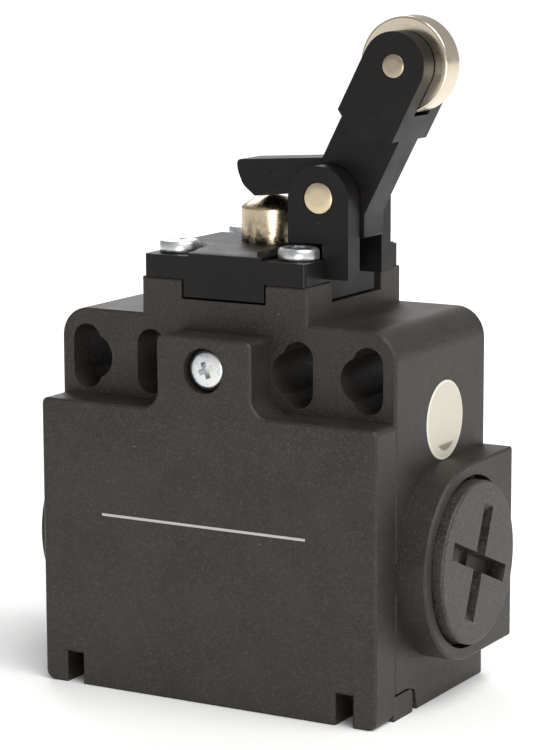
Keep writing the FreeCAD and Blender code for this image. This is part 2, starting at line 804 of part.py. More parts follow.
# Head moulding: plate on the neck, raised pad round the plunger and two ears for the lever
def head_body():
    body = new_body("head_body", (0, axis_y, neck_top))
    wide = S.plate_width / 2
    deep = S.plate_depth / 2
    plate = new_sketch(body, "PlateOutline", "XY_Plane")
    rectangle(plate, -wide, -deep, wide, deep, S.plate_corner)
    pad(body, "Plate", plate, S.plate_thickness)
    across = S.pad_front_width / 2
    along = S.pad_side_width / 2
    turn = S.pad_inner_radius
    soft = S.plate_corner
    cross = [(-across, -deep, soft), (across, -deep, soft), (across, -along, turn), (wide, -along, soft),
             (wide, along, soft), (across, along, turn), (across, deep, soft), (-across, deep, soft),
             (-across, along, turn), (-wide, along, soft), (-wide, -along, soft), (-across, -along, turn)]
    step = new_sketch(body, "PadStepOutline", "XY_Plane", S.plate_thickness)
    outline(step, cross)
    pad(body, "PadStep", step, S.pad_step)
    bevel = new_sketch(body, "PadBevelOutline", "XY_Plane", S.plate_thickness + S.pad_step)
    outline(bevel, cross)
    slope = Size(-math.degrees(math.atan2(S.pad_bevel_run.value, S.pad_bevel_height.value)),
                 "-atan(Sizes.pad_bevel_run / Sizes.pad_bevel_height)")
    pad(body, "PadBevel", bevel, S.pad_bevel_height, taper=slope)

    tongues = new_sketch(body, "TongueOutline", "XY_Plane")
    half = S.tongue_width / 2
    for side in (-1, 1):
        left, right = sorted(((wide - S.tongue_depth) * side, wide * side), key=lambda size: size.value)
        rectangle(tongues, left, -half, right, half)
        near, far = sorted(((deep - S.tongue_depth) * side, deep * side), key=lambda size: size.value)
        rectangle(tongues, -half, near, half, far)
    pad(body, "Tongues", tongues, S.tongue_drop, reverse=True)
    spigot = new_sketch(body, "SpigotOutline", "XY_Plane")
    round_hole(spigot, 0, 0, S.spigot_diameter)
    pad(body, "Spigot", spigot, S.spigot_depth, reverse=True)

    add_ears(body)

    bore = new_sketch(body, "BoreOutline", "XY_Plane", pad_top - neck_top)
    round_hole(bore, 0, 0, S.plunger_diameter + S.running_clearance * 2)
    pocket(body, "PlungerBore", bore, pad_top - neck_top + S.spigot_depth)
    groove = new_sketch(body, "SealGroove", "XY_Plane", -S.spigot_depth)
    round_hole(groove, 0, 0, S.seal_diameter)
    pocket(body, "SealSeat", groove, S.seal_thickness, reverse=True)
    holes = new_sketch(body, "ScrewHoles", "XY_Plane", S.plate_thickness)
    reach = S.head_screw_pitch / 2
    for x in (-1, 1):
        for y in (-1, 1):
            round_hole(holes, reach * x, reach * y, S.small_shank + S.hole_clearance * 3)
    pocket(body, "HeadHoles", holes, S.plate_thickness)
    finish(body, "head_body")


def add_ears(body):
    """Two upright ears with round tops, the gap between them and the hole for the pivot pin."""
    foot = S.ear_foot_height - neck_top
    rise = S.pivot_height - neck_top
    left = S.pivot_offset - S.ear_radius
    right = S.pivot_offset + S.ear_radius
    ears = ((S.front_ear_thickness, ear_front - axis_y - S.front_ear_thickness, S.front_ear_drop, "Front"),
            (S.rear_ear_thickness, ear_rear - axis_y, 0, "Rear"))
    for thickness, start, drop, name in ears:
        upright = new_sketch(body, name + "EarOutline", "XZ_Plane", -start)
        rectangle(upright, left, foot, right, rise - drop)
        pad(body, name + "Ear", upright, thickness, reverse=True)
        crown = new_sketch(body, name + "CrownOutline", "XZ_Plane", -start)
        round_hole(crown, S.pivot_offset, rise - drop, S.ear_radius * 2)
        pad(body, name + "Crown", crown, thickness, reverse=True)
    rib = new_sketch(body, "RearFootOutline", "XZ_Plane", -(ear_rear - axis_y + S.rear_ear_thickness))
    rectangle(rib, left, foot, right, rise - S.ear_radius * 1.5)
    pad(body, "RearFoot", rib, S.rear_ear_foot, reverse=True)

    relief = new_sketch(body, "ScrewReliefOutline", "XY_Plane", S.plate_thickness)
    reach = S.head_screw_pitch / 2
    round_hole(relief, reach, -reach, S.small_head + S.face_gap * 2)
    pocket(body, "ScrewRelief", relief, S.small_head_height + S.face_gap, reverse=True)

    gap = new_sketch(body, "GapOutline", "XY_Plane", rise)
    rectangle(gap, left - S.edge_softening * 2, ear_front - axis_y, right + 1, ear_rear - axis_y)
    pocket(body, "EarGap", gap, rise - foot - S.face_gap)
    hole = new_sketch(body, "PivotHole", "XZ_Plane")
    round_hole(hole, S.pivot_offset, rise, S.pivot_pin_diameter + S.running_clearance)
    pocket(body, "PivotHoles", hole, S.plate_depth * 2, symmetric=True)


head_body()


def head_parts():
    """Screws of the head, plunger seal and pivot pin."""
    reach = S.head_screw_pitch / 2
    screws = []
    for number, (x, y) in enumerate(((-1, -1), (1, -1), (-1, 1), (1, 1))):
        screws.append(pan_screw("HeadScrew%d" % number, (reach * x, axis_y + reach * y, plate_top), "+Z",
                                S.small_head, S.small_head_height, S.small_shank, S.small_screw_length,
                                15 + 30 * number))
    finish(group("HeadScrews", screws), "head_screws")
    ring = cylinder("SealRing", S.seal_diameter - S.hole_clearance, S.seal_thickness,
                    (0, axis_y, spigot_bottom))
    hole = cylinder("SealHole", S.plunger_diameter + S.running_clearance, S.seal_thickness,
                    (0, axis_y, spigot_bottom))
    finish(cut("PlungerSeal", ring, [hole]), "plunger_seal")
    start = ear_front - S.front_ear_thickness - S.pin_proud
    length = S.front_ear_thickness + S.ear_gap + S.rear_ear_thickness + S.pin_proud * 2
    finish(cylinder("PivotPin", S.pivot_pin_diameter, length, (S.pivot_offset, start, S.pivot_height), "+Y"),
           "lever_pivot_pin")


head_parts()


# Lever: bent arm with a finger over the plunger, a heel between the ears and a forked roller end
def lever():
    body = new_body("lever_arm", (S.pivot_offset, lever_y, S.pivot_height))
    tilt_x = sine(S.arm_tilt)
    tilt_z = cosine(S.arm_tilt)

    def on_arm(along, across):
        """Point of the arm: along it from the roller's centre, and across it to the right."""
        return (S.roller_right + tilt_x * along + tilt_z * across,
                S.roller_up + tilt_z * along - tilt_x * across)

    half = S.arm_width / 2
    to_heel = (S.heel_right - S.roller_right - tilt_z * half) / tilt_x
    top_level = S.finger_top + S.finger_top_rise
    to_top = (top_level - S.roller_up - tilt_x * half) / tilt_z
    reach = S.finger_reach
    arm = new_sketch(body, "ArmOutline", "XZ_Plane")
    outline(arm, [
        (-S.heel_left, -S.heel_drop, S.heel_left / 2), (S.heel_right, -S.heel_drop, S.edge_softening),
        on_arm(to_heel, half), on_arm(0, half), on_arm(0, -half), on_arm(to_top, -half),
        (-reach, S.finger_top, S.edge_softening * 2),
        (-reach, S.finger_top - S.finger_tip_drop, S.finger_top * 0.7),
        (-reach + S.finger_nose_run, S.finger_top - S.finger_nose_drop, S.finger_top * 0.7),
        (-reach + S.finger_under_run, -S.finger_bottom, S.finger_corner),
        (-S.heel_left, S.finger_bottom * 0.3, S.heel_corner)])
    pad(body, "Arm", arm, S.lever_thickness, symmetric=True)
    fork_start = S.fork_setback - S.fork_width / 2
    slot_start = S.fork_setback - S.fork_slot / 2
    cheeks = new_sketch(body, "CheekOutline", "XZ_Plane", -fork_start)
    outline(cheeks, [on_arm(0, -half), on_arm(-S.cheek_length, -half, ),
                     (*on_arm(-S.cheek_length - S.cheek_foot, 0), half),
                     on_arm(-S.cheek_length, half), on_arm(0, half)])
    pad(body, "Cheeks", cheeks, S.fork_width, reverse=True)
    nose = new_sketch(body, "NoseOutline", "XZ_Plane", -fork_start)
    round_hole(nose, S.roller_right, S.roller_up, S.arm_width)
    pad(body, "Nose", nose, S.fork_width, reverse=True)

    slot = new_sketch(body, "SlotOutline", "XZ_Plane", -slot_start)
    round_hole(slot, S.roller_right, S.roller_up, S.roller_diameter + S.fork_clearance * 2)
    pocket(body, "ForkSlot", slot, S.fork_slot)
    axle = new_sketch(body, "AxleHole", "XZ_Plane")
    round_hole(axle, S.roller_right, S.roller_up, S.roller_pin_diameter + S.running_clearance)
    pocket(body, "AxleHoles", axle, S.fork_width * 2, symmetric=True)
    pivot = new_sketch(body, "PivotOutline", "XZ_Plane")
    round_hole(pivot, 0, 0, S.pivot_pin_diameter + S.running_clearance * 2)
    pocket(body, "PivotBore", pivot, S.lever_thickness * 2, symmetric=True)

    mark = new_sketch(body, "CheekMark", "XZ_Plane", -fork_start)
    round_hole(mark, *on_arm(-S.cheek_mark_reach, 0), S.mark_diameter)
    pocket(body, "CheekMarkRecess", mark, S.mark_depth)
    finger_mark = new_sketch(body, "FingerMark", "XZ_Plane", S.lever_thickness / 2)
    round_hole(finger_mark, -S.finger_reach * 0.575, S.finger_top / 2, S.mark_diameter)
    pocket(body, "FingerMarkRecess", finger_mark, S.mark_depth)
    finish(body, "lever_arm")

    start = fork_y - S.fork_width / 2 - S.pin_proud
    centre = (S.pivot_offset + S.roller_right, start, S.pivot_height + S.roller_up)
    finish(cylinder("RollerPin", S.roller_pin_diameter, S.fork_width + S.pin_proud * 2, centre, "+Y"),
           "roller_pin")


lever()


def roller():
    body = new_body("roller", (S.pivot_offset + S.roller_right, fork_y, S.pivot_height + S.roller_up))
    section = new_sketch(body, "RollerSection", "XY_Plane")
    bore = S.roller_pin_diameter / 2 + S.running_clearance
    rim = S.roller_diameter / 2
    hub = S.roller_hub_diameter / 2
    wide = S.roller_width / 2
    end = S.roller_hub_width / 2
    soft = S.roller_rounding
    outline(section, [(bore, -end), (hub, -end), (hub, -wide), (rim - soft, -wide), (rim, -wide + soft),
                      (rim, wide - soft), (rim - soft, wide), (hub, wide), (hub, end), (bore, end)])
    revolve(body, "RollerTurned", section, "V_Axis")
    finish(body, "roller")


roller()


# Plunger: domed steel pin with a collar and a thin rod down to the contact carrier
def plunger():
    rim = S.plunger_diameter / 2
    pin = cylinder("PlungerPin", S.plunger_diameter, plunger_rim - collar_bottom + rim,
                   (0, axis_y, collar_bottom))
    ball = doc.addObject("Part::Sphere", "PlungerDome")
    bind(ball, "Radius", S.plunger_dome_radius)
    move_to(ball, (0, axis_y, plunger_rim - dome_drop))
    shaft = cylinder("PlungerShaft", S.plunger_diameter, plunger_rim - collar_bottom,
                     (0, axis_y, collar_bottom))
    crown = doc.addObject("Part::MultiCommon", "PlungerCrown")
    crown.Shapes = [pin, ball]
    collar = cylinder("PlungerCollar", S.plunger_collar_diameter, S.plunger_collar_thickness,
                      (0, axis_y, collar_bottom))
    rod_end = carrier_top + S.plunger_travel + S.face_gap
    rod = cylinder("PlungerRod", S.plunger_rod_diameter, collar_bottom - rod_end, (0, axis_y, rod_end))
    finish(fuse("Plunger", [shaft, crown, collar, rod]), "plunger")


plunger()


def triangle(first, second, third):
    return Part.Face(Part.makePolygon([first, second, third, first]))


def coil(label, diameter, wire, coils, bottom, top, across, back):
    """Compression spring: six-sided wire in short straight lengths, so its mesh stays small."""
    steps = 12
    radius = diameter / 2 - wire / 2
    rise = (top - bottom - wire) / (coils * steps)
    corners = [math.radians(30 + 60 * number) for number in range(6)]
    rings = []
    for number in range(int(coils * steps) + 1):
        turn = 2 * math.pi * number / steps
        out = Vector(math.cos(turn), math.sin(turn), 0)
        centre = out * radius + Vector(0, 0, wire / 2 + rise * number)
        rings.append([centre + out * (wire / 2 * math.cos(a)) + Vector(0, 0, wire / 2 * math.sin(a))
                      for a in corners])
    faces = [Part.Face(Part.makePolygon(ring + ring[:1])) for ring in (rings[0], rings[-1])]
    for lower, upper in zip(rings, rings[1:]):
        for i in range(6):
            j = (i + 1) % 6
            faces.append(triangle(lower[i], lower[j], upper[j]))
            faces.append(triangle(lower[i], upper[j], upper[i]))
    solid = Part.makeSolid(Part.makeShell(faces))
    if solid.Volume < 0:
        solid.reverse()
    spring = doc.addObject("Part::Feature", label + "_coil")
    spring.Shape = solid
    spring.Placement = Placement(Vector(across, back, bottom), Rotation())
    finish(spring, label)


def conduit_plugs():
    """Blind plug with a flange and crossed driver slots, and its flat seal, on each side."""
    seat_face = boss_face - S.seat_depth
    for side, label, direction in ((-1, "left", "-X"), (1, "right", "+X")):
        under = seat_face + S.plug_seal_thickness
        base = (under * side, entry_y, S.entry_height)
        body = new_body("conduit_plug_" + label, base, turned[direction])
        flange = new_sketch(body, "FlangeOutline", "XY_Plane")
        round_hole(flange, 0, 0, flange_diameter)
        disc = pad(body, "Flange", flange, S.plug_flange_thickness)
        soften(body, "FlangeEdge", disc, S.edge_softening,
               lambda edge: lies_at(edge, "Z", S.plug_flange_thickness))
        shank = new_sketch(body, "ShankOutline", "XY_Plane")
        round_hole(shank, 0, 0, S.entry_bore - S.plug_shank_clearance * 2)
        pad(body, "Shank", shank, S.plug_shank_length, reverse=True)
        hollow = new_sketch(body, "HollowOutline", "XY_Plane", -S.plug_shank_length)
        round_hole(hollow, 0, 0, S.plug_hollow_diameter)
        pocket(body, "Hollow", hollow, S.plug_hollow_depth, reverse=True)
        for name, length, angle in (("LongSlot", S.plug_long_slot, 90 - S.plug_turn),
                                    ("ShortSlot", S.plug_short_slot, -S.plug_turn)):
            slot = new_sketch(body, name + "Outline", "XY_Plane", S.plug_flange_thickness)
            along = (cosine(angle) * (length / 2), sine(angle) * (length / 2))
            aside = (-sine(angle) * (S.plug_slot_width / 2), cosine(angle) * (S.plug_slot_width / 2))
            outline(slot, [(a * along[0] + b * aside[0], a * along[1] + b * aside[1])
                           for a, b in ((-1, -1), (1, -1), (1, 1), (-1, 1))])
            pocket(body, name, slot, S.plug_slot_depth)
        finish(body, "conduit_plug_" + label)
        way = "-X" if side < 0 else "+X"
        ring = cylinder("Ring_" + label, flange_diameter, S.plug_seal_thickness,
                        (seat_face * side, entry_y, S.entry_height), way)
        hole = cylinder("RingHole_" + label, S.entry_bore, S.plug_seal_thickness,
                        (seat_face * side, entry_y, S.entry_height), way)
        finish(cut("PlugSeal_" + label, ring, [hole]), "plug_seal_" + label)


conduit_plugs()
label_height = S.entry_height + boss_radius + S.label_gap + S.label_diameter / 2
finish(cylinder("SideLabel", S.label_diameter, S.label_thickness,
                (half_width, front + S.label_setback, label_height), "+X"), "side_seal_sticker")


# Contact block: insulating housing, cap, sliding carrier, two bridges, four terminals
plate_front = cavity_rear - rear_gap - S.block_plate
chamber_front = axis_y - S.chamber_half_depth
wall_outside = S.chamber_half_width + S.chamber_wall
pad_outside = wall_outside + S.terminal_width + S.hole_clearance * 2


def levels():
    """Undersides of the upper and lower terminal strips."""
    return (("upper", upper_terminal), ("lower", lower_terminal))


def contact_block():
    stock = [box("BlockPlate", (-block_half_width, plate_front, block_bottom),
                 (block_half_width, plate_front + S.block_plate, block_top)),
             box("ChamberBlock", (-wall_outside, chamber_front, block_bottom),
                 (wall_outside, plate_front, block_top))]
    tools = [box("Chamber", (-S.chamber_half_width, chamber_front - 1, block_bottom + S.chamber_wall),
                 (S.chamber_half_width, plate_front, block_top - S.chamber_wall))]
    tools.append(cylinder("StemHole", S.plunger_rod_diameter + S.face_gap * 2, S.chamber_wall * 3,
                          (0, axis_y, block_top - S.chamber_wall * 2)))
    for level, height in levels():
        for side in (-1, 1):
            low, high = sorted((wall_outside * side, pad_outside * side), key=lambda size: size.value)
            name = "%s%d" % (level, side + 1)
            stock.append(box("Platform_" + name, (low, chamber_front, height - S.terminal_platform),
                             (high, plate_front, height)))
            low, high = sorted(((S.chamber_half_width - 1) * side, (wall_outside + 0.2) * side),
                               key=lambda size: size.value)
            gap = S.hole_clearance / 2
            tools.append(box("Window_" + name, (low, axis_y - S.strip_width / 2 - gap, height - gap),
                             (high, axis_y + S.strip_width / 2 + gap, height + S.strip_thickness + gap)))
            tools.append(cylinder("TerminalPilot_" + name, S.terminal_screw_shank + S.hole_clearance,
                                  S.terminal_screw_length,
                                  ((wall_outside + S.terminal_width / 2) * side, chamber_front,
                                   height - S.terminal_platform / 2), "+Y"))
    for side, height in ((-1, upper_screw), (1, lower_screw)):
        tools.append(cylinder("EarHole%d" % (side + 1), S.small_shank + S.hole_clearance * 3, S.block_plate,
                              (S.block_screw_offset * side, plate_front, height), "+Y"))
    block = fuse("BlockStock", stock)
    finish(cut("ContactBlock", block, tools), "contact_block_housing")
    cap = box("BlockCap", (-wall_outside, chamber_front - S.block_cap_thickness, block_bottom),
              (wall_outside, chamber_front, block_top))
    view = box("CapSlot", (-S.strip_thickness, chamber_front - S.block_cap_thickness, carrier_bottom),
               (S.strip_thickness, chamber_front, carrier_top - S.strip_width))
    finish(cut("BlockCapPlate", cap, [view]), "contact_block_cap")
    screws = []
    for side, height in ((-1, upper_screw), (1, lower_screw)):
        screws.append(pan_screw("BlockScrew%d" % (side + 1), (S.block_screw_offset * side, plate_front, height),
                                "-Y", S.block_screw_head, S.small_head_height, S.small_shank,
                                S.block_plate + rear_gap + S.rear_wall / 4, 35 * side))
    finish(group("BlockScrews", screws), "contact_block_screws")


def terminals():
    """Bent terminal strips with their silver tips, clamp plates and screws."""
    tips = []
    plates = []
    screws = []
    for level, height in levels():
        for side, hand in ((-1, "left"), (1, "right")):
            name = "%s_%s" % (level, hand)
            low, high = sorted(((wall_outside + S.hole_clearance) * side,
                                (wall_outside + S.terminal_width) * side), key=lambda size: size.value)
            inner, outer = sorted(((S.contact_half_pitch - S.contact_tip_diameter / 2) * side,
                                   (wall_outside + S.hole_clearance) * side), key=lambda size: size.value)
            face = chamber_front - S.strip_thickness
            strip = fuse("Strip_" + name, [
                box("Pad_" + name, (low, face, height - S.terminal_platform),
                    (high, chamber_front, height + S.strip_thickness)),
                box("Shelf_" + name, (low, chamber_front, height),
                    (high, axis_y + S.strip_width / 2, height + S.strip_thickness)),
                box("Blade_" + name, (inner, axis_y - S.strip_width / 2, height),
                    (outer, axis_y + S.strip_width / 2, height + S.strip_thickness))])
            middle = (wall_outside + S.terminal_width / 2) * side
            drop = height - S.terminal_platform / 2
            hole = cylinder("PadHole_" + name, S.terminal_screw_shank + S.hole_clearance, S.strip_thickness,
                            (middle, face, drop), "+Y")
            finish(cut("Terminal_" + name, strip, [hole]), "terminal_" + name)
            tip_base = height - S.contact_tip_height if level == "upper" else height + S.strip_thickness
            tips.append(cylinder("FixedTip_" + name, S.contact_tip_diameter, S.contact_tip_height,
                                 (S.contact_half_pitch * side, axis_y, tip_base)))
            half = S.clamp_plate_size / 2
            plate = box("Clamp_" + name, (middle - half, face - S.clamp_plate_thickness, drop - half * 0.9),
                        (middle + half, face, drop + half * 0.9))
            clear = cylinder("ClampHole_" + name, S.terminal_screw_shank + S.hole_clearance,
                             S.clamp_plate_thickness, (middle, face - S.clamp_plate_thickness, drop), "+Y")
            plates.append(cut("ClampPlate_" + name, plate, [clear]))
            screws.append(pan_screw("TerminalScrew_" + name, (middle, face - S.clamp_plate_thickness, drop),
                                    "-Y", S.terminal_screw_head, S.small_head_height, S.terminal_screw_shank,
                                    S.terminal_screw_length, 10 * side))
    finish(group("FixedTips", tips), "fixed_contact_tips")
    finish(group("ClampPlates", plates), "terminal_clamp_plates")
    finish(group("TerminalScrews", screws), "terminal_screws")


def carrier():
    """Sliding carrier with two windows; a spring in each holds a contact bridge."""
    wide = S.carrier_half_width
    deep = S.carrier_half_depth
    gap = S.hole_clearance / 2
    stem = cylinder("CarrierStem", S.plunger_rod_diameter, S.plunger_travel,
                    (0, axis_y, carrier_top))
    slider = box("CarrierBlock", (-wide, axis_y - deep, carrier_bottom), (wide, axis_y + deep, carrier_top))
    tools = []
    moving = []
    upper_tip = upper_terminal - S.contact_tip_height - S.face_gap
    bridges = (("upper", upper_tip - S.contact_tip_height - S.strip_thickness, 1),
               ("lower", lower_tip + S.contact_tip_height, -1))
    for level, bottom, way in bridges:
        top = bottom + S.strip_thickness
        spring_low, spring_high = (bottom - S.contact_spring_length, bottom)
        if way < 0:
            spring_low, spring_high = (top, top + S.contact_spring_length)
        low = spring_low if way > 0 else bottom - gap
        high = top + gap if way > 0 else spring_high
        reach = S.bridge_width / 2 + gap
        tools.append(box("Window_carrier_" + level, (-wide * 1.2, axis_y - reach, low),
                         (wide * 1.2, axis_y + reach, high)))
        half = S.bridge_width / 2
        finish(box("Bridge_" + level, (-S.bridge_half_length, axis_y - half, bottom),
                   (S.bridge_half_length, axis_y + half, top)), "contact_bridge_" + level)
        for side in (-1, 1):
            tip_base = top if way > 0 else bottom - S.contact_tip_height
            moving.append(cylinder("MovingTip_%s%d" % (level, side + 1), S.contact_tip_diameter,
                                   S.contact_tip_height, (S.contact_half_pitch * side, axis_y, tip_base)))
        coil("contact_spring_" + level, S.contact_spring_diameter.value, S.contact_wire.value,
             S.return_coils.value, spring_low.value, spring_high.value, 0, axis_y.value)
    finish(cut("Carrier", fuse("CarrierStock", [slider, stem]), tools), "contact_carrier")
    finish(group("MovingTips", moving), "moving_contact_tips")


contact_block()
terminals()
carrier()

coil("plunger_return_spring", S.guide_bore.value - 1.4, S.return_wire.value * 1.3, S.return_coils.value,
     shelf_top.value, collar_bottom.value - S.hole_clearance.value, 0, axis_y.value)
coil("carrier_return_spring", S.carrier_half_width.value * 1.8, S.return_wire.value, S.return_coils.value,
     (block_bottom + S.chamber_wall).value, (carrier_bottom - S.hole_clearance).value, 0, axis_y.value)


# Check every object, then write one file for each finished piece
doc.recompute()
broken = [item.Name for item in doc.Objects if "Invalid" in item.State or "Error" in item.State]
if broken:
    raise RuntimeError("failed objects: " + ", ".join(broken))
for item in finished:
    if item.Shape.isNull() or not item.Shape.isValid() or not item.Shape.Solids:
        raise RuntimeError("bad shape: " + item.Label)
os.makedirs("parts", exist_ok=True)
for item in finished:
    item.Shape.exportStep("parts/%s.step" % item.Label)
    print(item.Label, len(item.Shape.Solids), "solid(s)", round(item.Shape.Volume, 1), "mm3")
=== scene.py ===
import json
import math

import bmesh
import bpy
from mathutils import Matrix, Vector


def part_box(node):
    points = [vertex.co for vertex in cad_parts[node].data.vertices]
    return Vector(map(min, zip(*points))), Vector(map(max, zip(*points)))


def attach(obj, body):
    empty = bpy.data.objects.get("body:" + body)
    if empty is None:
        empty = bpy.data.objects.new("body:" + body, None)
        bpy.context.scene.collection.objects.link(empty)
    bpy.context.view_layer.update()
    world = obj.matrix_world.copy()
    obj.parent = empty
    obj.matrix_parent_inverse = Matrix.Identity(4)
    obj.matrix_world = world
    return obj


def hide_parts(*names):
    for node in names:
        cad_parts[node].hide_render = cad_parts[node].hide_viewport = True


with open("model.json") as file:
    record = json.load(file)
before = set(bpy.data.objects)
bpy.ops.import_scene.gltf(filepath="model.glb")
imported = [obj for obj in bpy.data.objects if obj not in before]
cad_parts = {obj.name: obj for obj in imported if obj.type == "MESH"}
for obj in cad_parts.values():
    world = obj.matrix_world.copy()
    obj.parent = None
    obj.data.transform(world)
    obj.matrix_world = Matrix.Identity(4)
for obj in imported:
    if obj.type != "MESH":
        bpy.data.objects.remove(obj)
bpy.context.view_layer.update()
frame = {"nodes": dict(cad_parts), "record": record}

# Roller limit switch. Metres, X right, Y to the mounting back, Z up.
mm = 0.001
nodes = frame["nodes"]
print("frame loaded:", len(nodes), "nodes")


# ---- colours and material nodes

def linear(hexColour):
    # sRGB hex to the linear values that Blender's sockets take
    channels = [int(hexColour[i:i + 2], 16) / 255 for i in (1, 3, 5)]
    return tuple(c / 12.92 if c <= 0.04045 else ((c + 0.055) / 1.055) ** 2.4 for c in channels) + (1.0,)


def newMaterial(name):
    material = bpy.data.materials.new(name)
    material.use_nodes = True
    material.node_tree.nodes.clear()
    return material


def addNode(material, kind, settings=None, links=None):
    # settings name a socket (or its number) or a property; links give sockets their sources
    node = material.node_tree.nodes.new(kind)
    for key, value in (settings or {}).items():
        if isinstance(key, int) or key in node.inputs:
            node.inputs[key].default_value = value
        else:
            setattr(node, key, value)
    for key, source in (links or {}).items():
        material.node_tree.links.new(source, node.inputs[key])
    return node


def finishMaterial(material, shader):
    addNode(material, "ShaderNodeOutputMaterial", links={"Surface": shader.outputs[0]})
    return material


# ---- plastics

plasticSurface = {
    "cloudRange": (0.35, 0.65),     # part of the flow noise that turns dark into light
    "mottleRange": (0.52, 0.72),    # part of the grain noise that shows as pale mottle
    "roughnessSpread": 0.06,        # how far the clouds change the roughness
    "bumpShare": 0.25,              # height of the grain as a share of its width
    "dustRadius": 0.075,            # millimetres
    "dustSeldom": 0.45,             # share of the cells that stay clean
    "dustColour": "#8d857a",
    "printColour": "#b4b2ae",
}


def mouldedPlastic(name, look):
    # glass-filled nylon: eroded mould grain scatters the light, flow clouds and dust break it up
    material = newMaterial(name)
    place = addNode(material, "ShaderNodeTexCoord").outputs["Object"]
    grain = addNode(material, "ShaderNodeTexNoise",
                    {"Scale": 1 / (look["grainSize"] * mm), "Detail": 3.0, "Roughness": 0.65},
                    {"Vector": place})
    flow = addNode(material, "ShaderNodeTexNoise",
                   {"Scale": 1 / (look["flowSize"] * mm), "Detail": 5.0, "Roughness": 0.6}, {"Vector": place})
    low, high = plasticSurface["cloudRange"]
    cloud = addNode(material, "ShaderNodeMapRange", {"From Min": low, "From Max": high},
                    {"Value": flow.outputs["Fac"]})
    cloudy = addNode(material, "ShaderNodeMix",
                     {"data_type": "RGBA", 6: linear(look["dark"]), 7: linear(look["light"])},
                     {0: cloud.outputs[0]})
    low, high = plasticSurface["mottleRange"]
    mottle = addNode(material, "ShaderNodeMapRange",
                     {"From Min": low, "From Max": high, "To Min": 0.0, "To Max": look["speckShare"]},
                     {"Value": grain.outputs["Fac"]})
    speckled = addNode(material, "ShaderNodeMix", {"data_type": "RGBA", 7: linear(look["speck"])},
                       {0: mottle.outputs[0], 6: cloudy.outputs[2]})
    # dust: a pale point in some of the cells of a coarse Voronoi pattern
    cells = addNode(material, "ShaderNodeTexVoronoi", {"Scale": 1 / (look["dustSpacing"] * mm)},
                    {"Vector": place})
    point = addNode(material, "ShaderNodeMath",
                    {"operation": "LESS_THAN", 1: plasticSurface["dustRadius"] / look["dustSpacing"]},
                    {0: cells.outputs["Distance"]})
    chosen = addNode(material, "ShaderNodeSeparateColor", links={"Color": cells.outputs["Color"]})
    seldom = addNode(material, "ShaderNodeMath",
                     {"operation": "GREATER_THAN", 1: plasticSurface["dustSeldom"]}, {0: chosen.outputs[0]})
    dust = addNode(material, "ShaderNodeMath", {"operation": "MULTIPLY"},
                   {0: point.outputs[0], 1: seldom.outputs[0]})
    colour = addNode(material, "ShaderNodeMix",
                     {"data_type": "RGBA", 7: linear(plasticSurface["dustColour"])},
                     {0: dust.outputs[0], 6: speckled.outputs[2]})
    if "rule" in look:
        colour = printedRule(material, place, look["rule"], colour)
    spread = plasticSurface["roughnessSpread"]
    dull = addNode(material, "ShaderNodeMapRange",
                   {"From Min": 0.3, "From Max": 0.7, "To Min": look["roughness"] - spread,
                    "To Max": look["roughness"] + spread}, {"Value": flow.outputs["Fac"]})
    bump = addNode(material, "ShaderNodeBump",
                   {"Strength": look["bump"],
                    "Distance": look["grainSize"] * mm * plasticSurface["bumpShare"]},
                   {"Height": grain.outputs["Fac"]})
    shader = addNode(material, "ShaderNodeBsdfPrincipled",
                     {"IOR": 1.53, "Specular IOR Level": look["gloss"]},
                     {"Base Color": colour.outputs[2], "Roughness": dull.outputs[0],
                      "Normal": bump.outputs[0]})
    return finishMaterial(material, shader)


def printedRule(material, place, rule, under):
    # thin pad-printed line across the cover's face
    parts = addNode(material, "ShaderNodeSeparateXYZ", links={"Vector": place})
    masks = []
    for letter, centre, reach in rule:
        masks.append(addNode(material, "ShaderNodeMath",
                             {"operation": "COMPARE", 1: centre * mm, 2: reach * mm},
                             {0: parts.outputs[letter]}).outputs[0])
    first = addNode(material, "ShaderNodeMath", {"operation": "MULTIPLY"}, {0: masks[0], 1: masks[1]})
    both = addNode(material, "ShaderNodeMath", {"operation": "MULTIPLY"}, {0: first.outputs[0], 1: masks[2]})
    return addNode(material, "ShaderNodeMix",
                   {"data_type": "RGBA", 7: linear(plasticSurface["printColour"])},
                   {0: both.outputs[0], 6: under.outputs[2]})


# sizes in millimetres; the real mould grain is finer and is drawn as coarse as it needs to show
housingLook = {
    "dark": "#1f1b18", "light": "#2a2521", "speck": "#4d4640", "speckShare": 0.65, "dustSpacing": 4.2,
    "grainSize": 0.28, "flowSize": 8.0, "roughness": 0.48, "bump": 0.85, "gloss": 0.38}
housingNylon = mouldedPlastic("moulded glass-filled black nylon", housingLook)
coverNylon = mouldedPlastic("moulded black nylon with a printed line", {
    **housingLook, "rule": (("X", -0.4, 15.25), ("Z", 23.62, 0.17), ("Y", -15.5, 0.05))})
headNylon = mouldedPlastic("smooth moulded black nylon", {
    "dark": "#0f0d0d", "light": "#151312", "speck": "#272422", "speckShare": 0.35, "dustSpacing": 3.2,
    "grainSize": 0.2, "flowSize": 4.0, "roughness": 0.42, "bump": 0.34, "gloss": 0.21})
plugNylon = mouldedPlastic("matt moulded plug nylon", {
    "dark": "#211d1a", "light": "#35302b", "speck": "#5b544d", "speckShare": 0.8, "dustSpacing": 3.8,
    "grainSize": 0.32, "flowSize": 2.4, "roughness": 0.48, "bump": 0.8, "gloss": 0.45})
blockMelamine = mouldedPlastic("ivory melamine moulding", {
    "dark": "#cfc6ae", "light": "#ddd5be", "speck": "#b9ae93", "speckShare": 0.3, "dustSpacing": 6.0,
    "grainSize": 0.25, "flowSize": 7.0, "roughness": 0.42, "bump": 0.3, "gloss": 0.5})
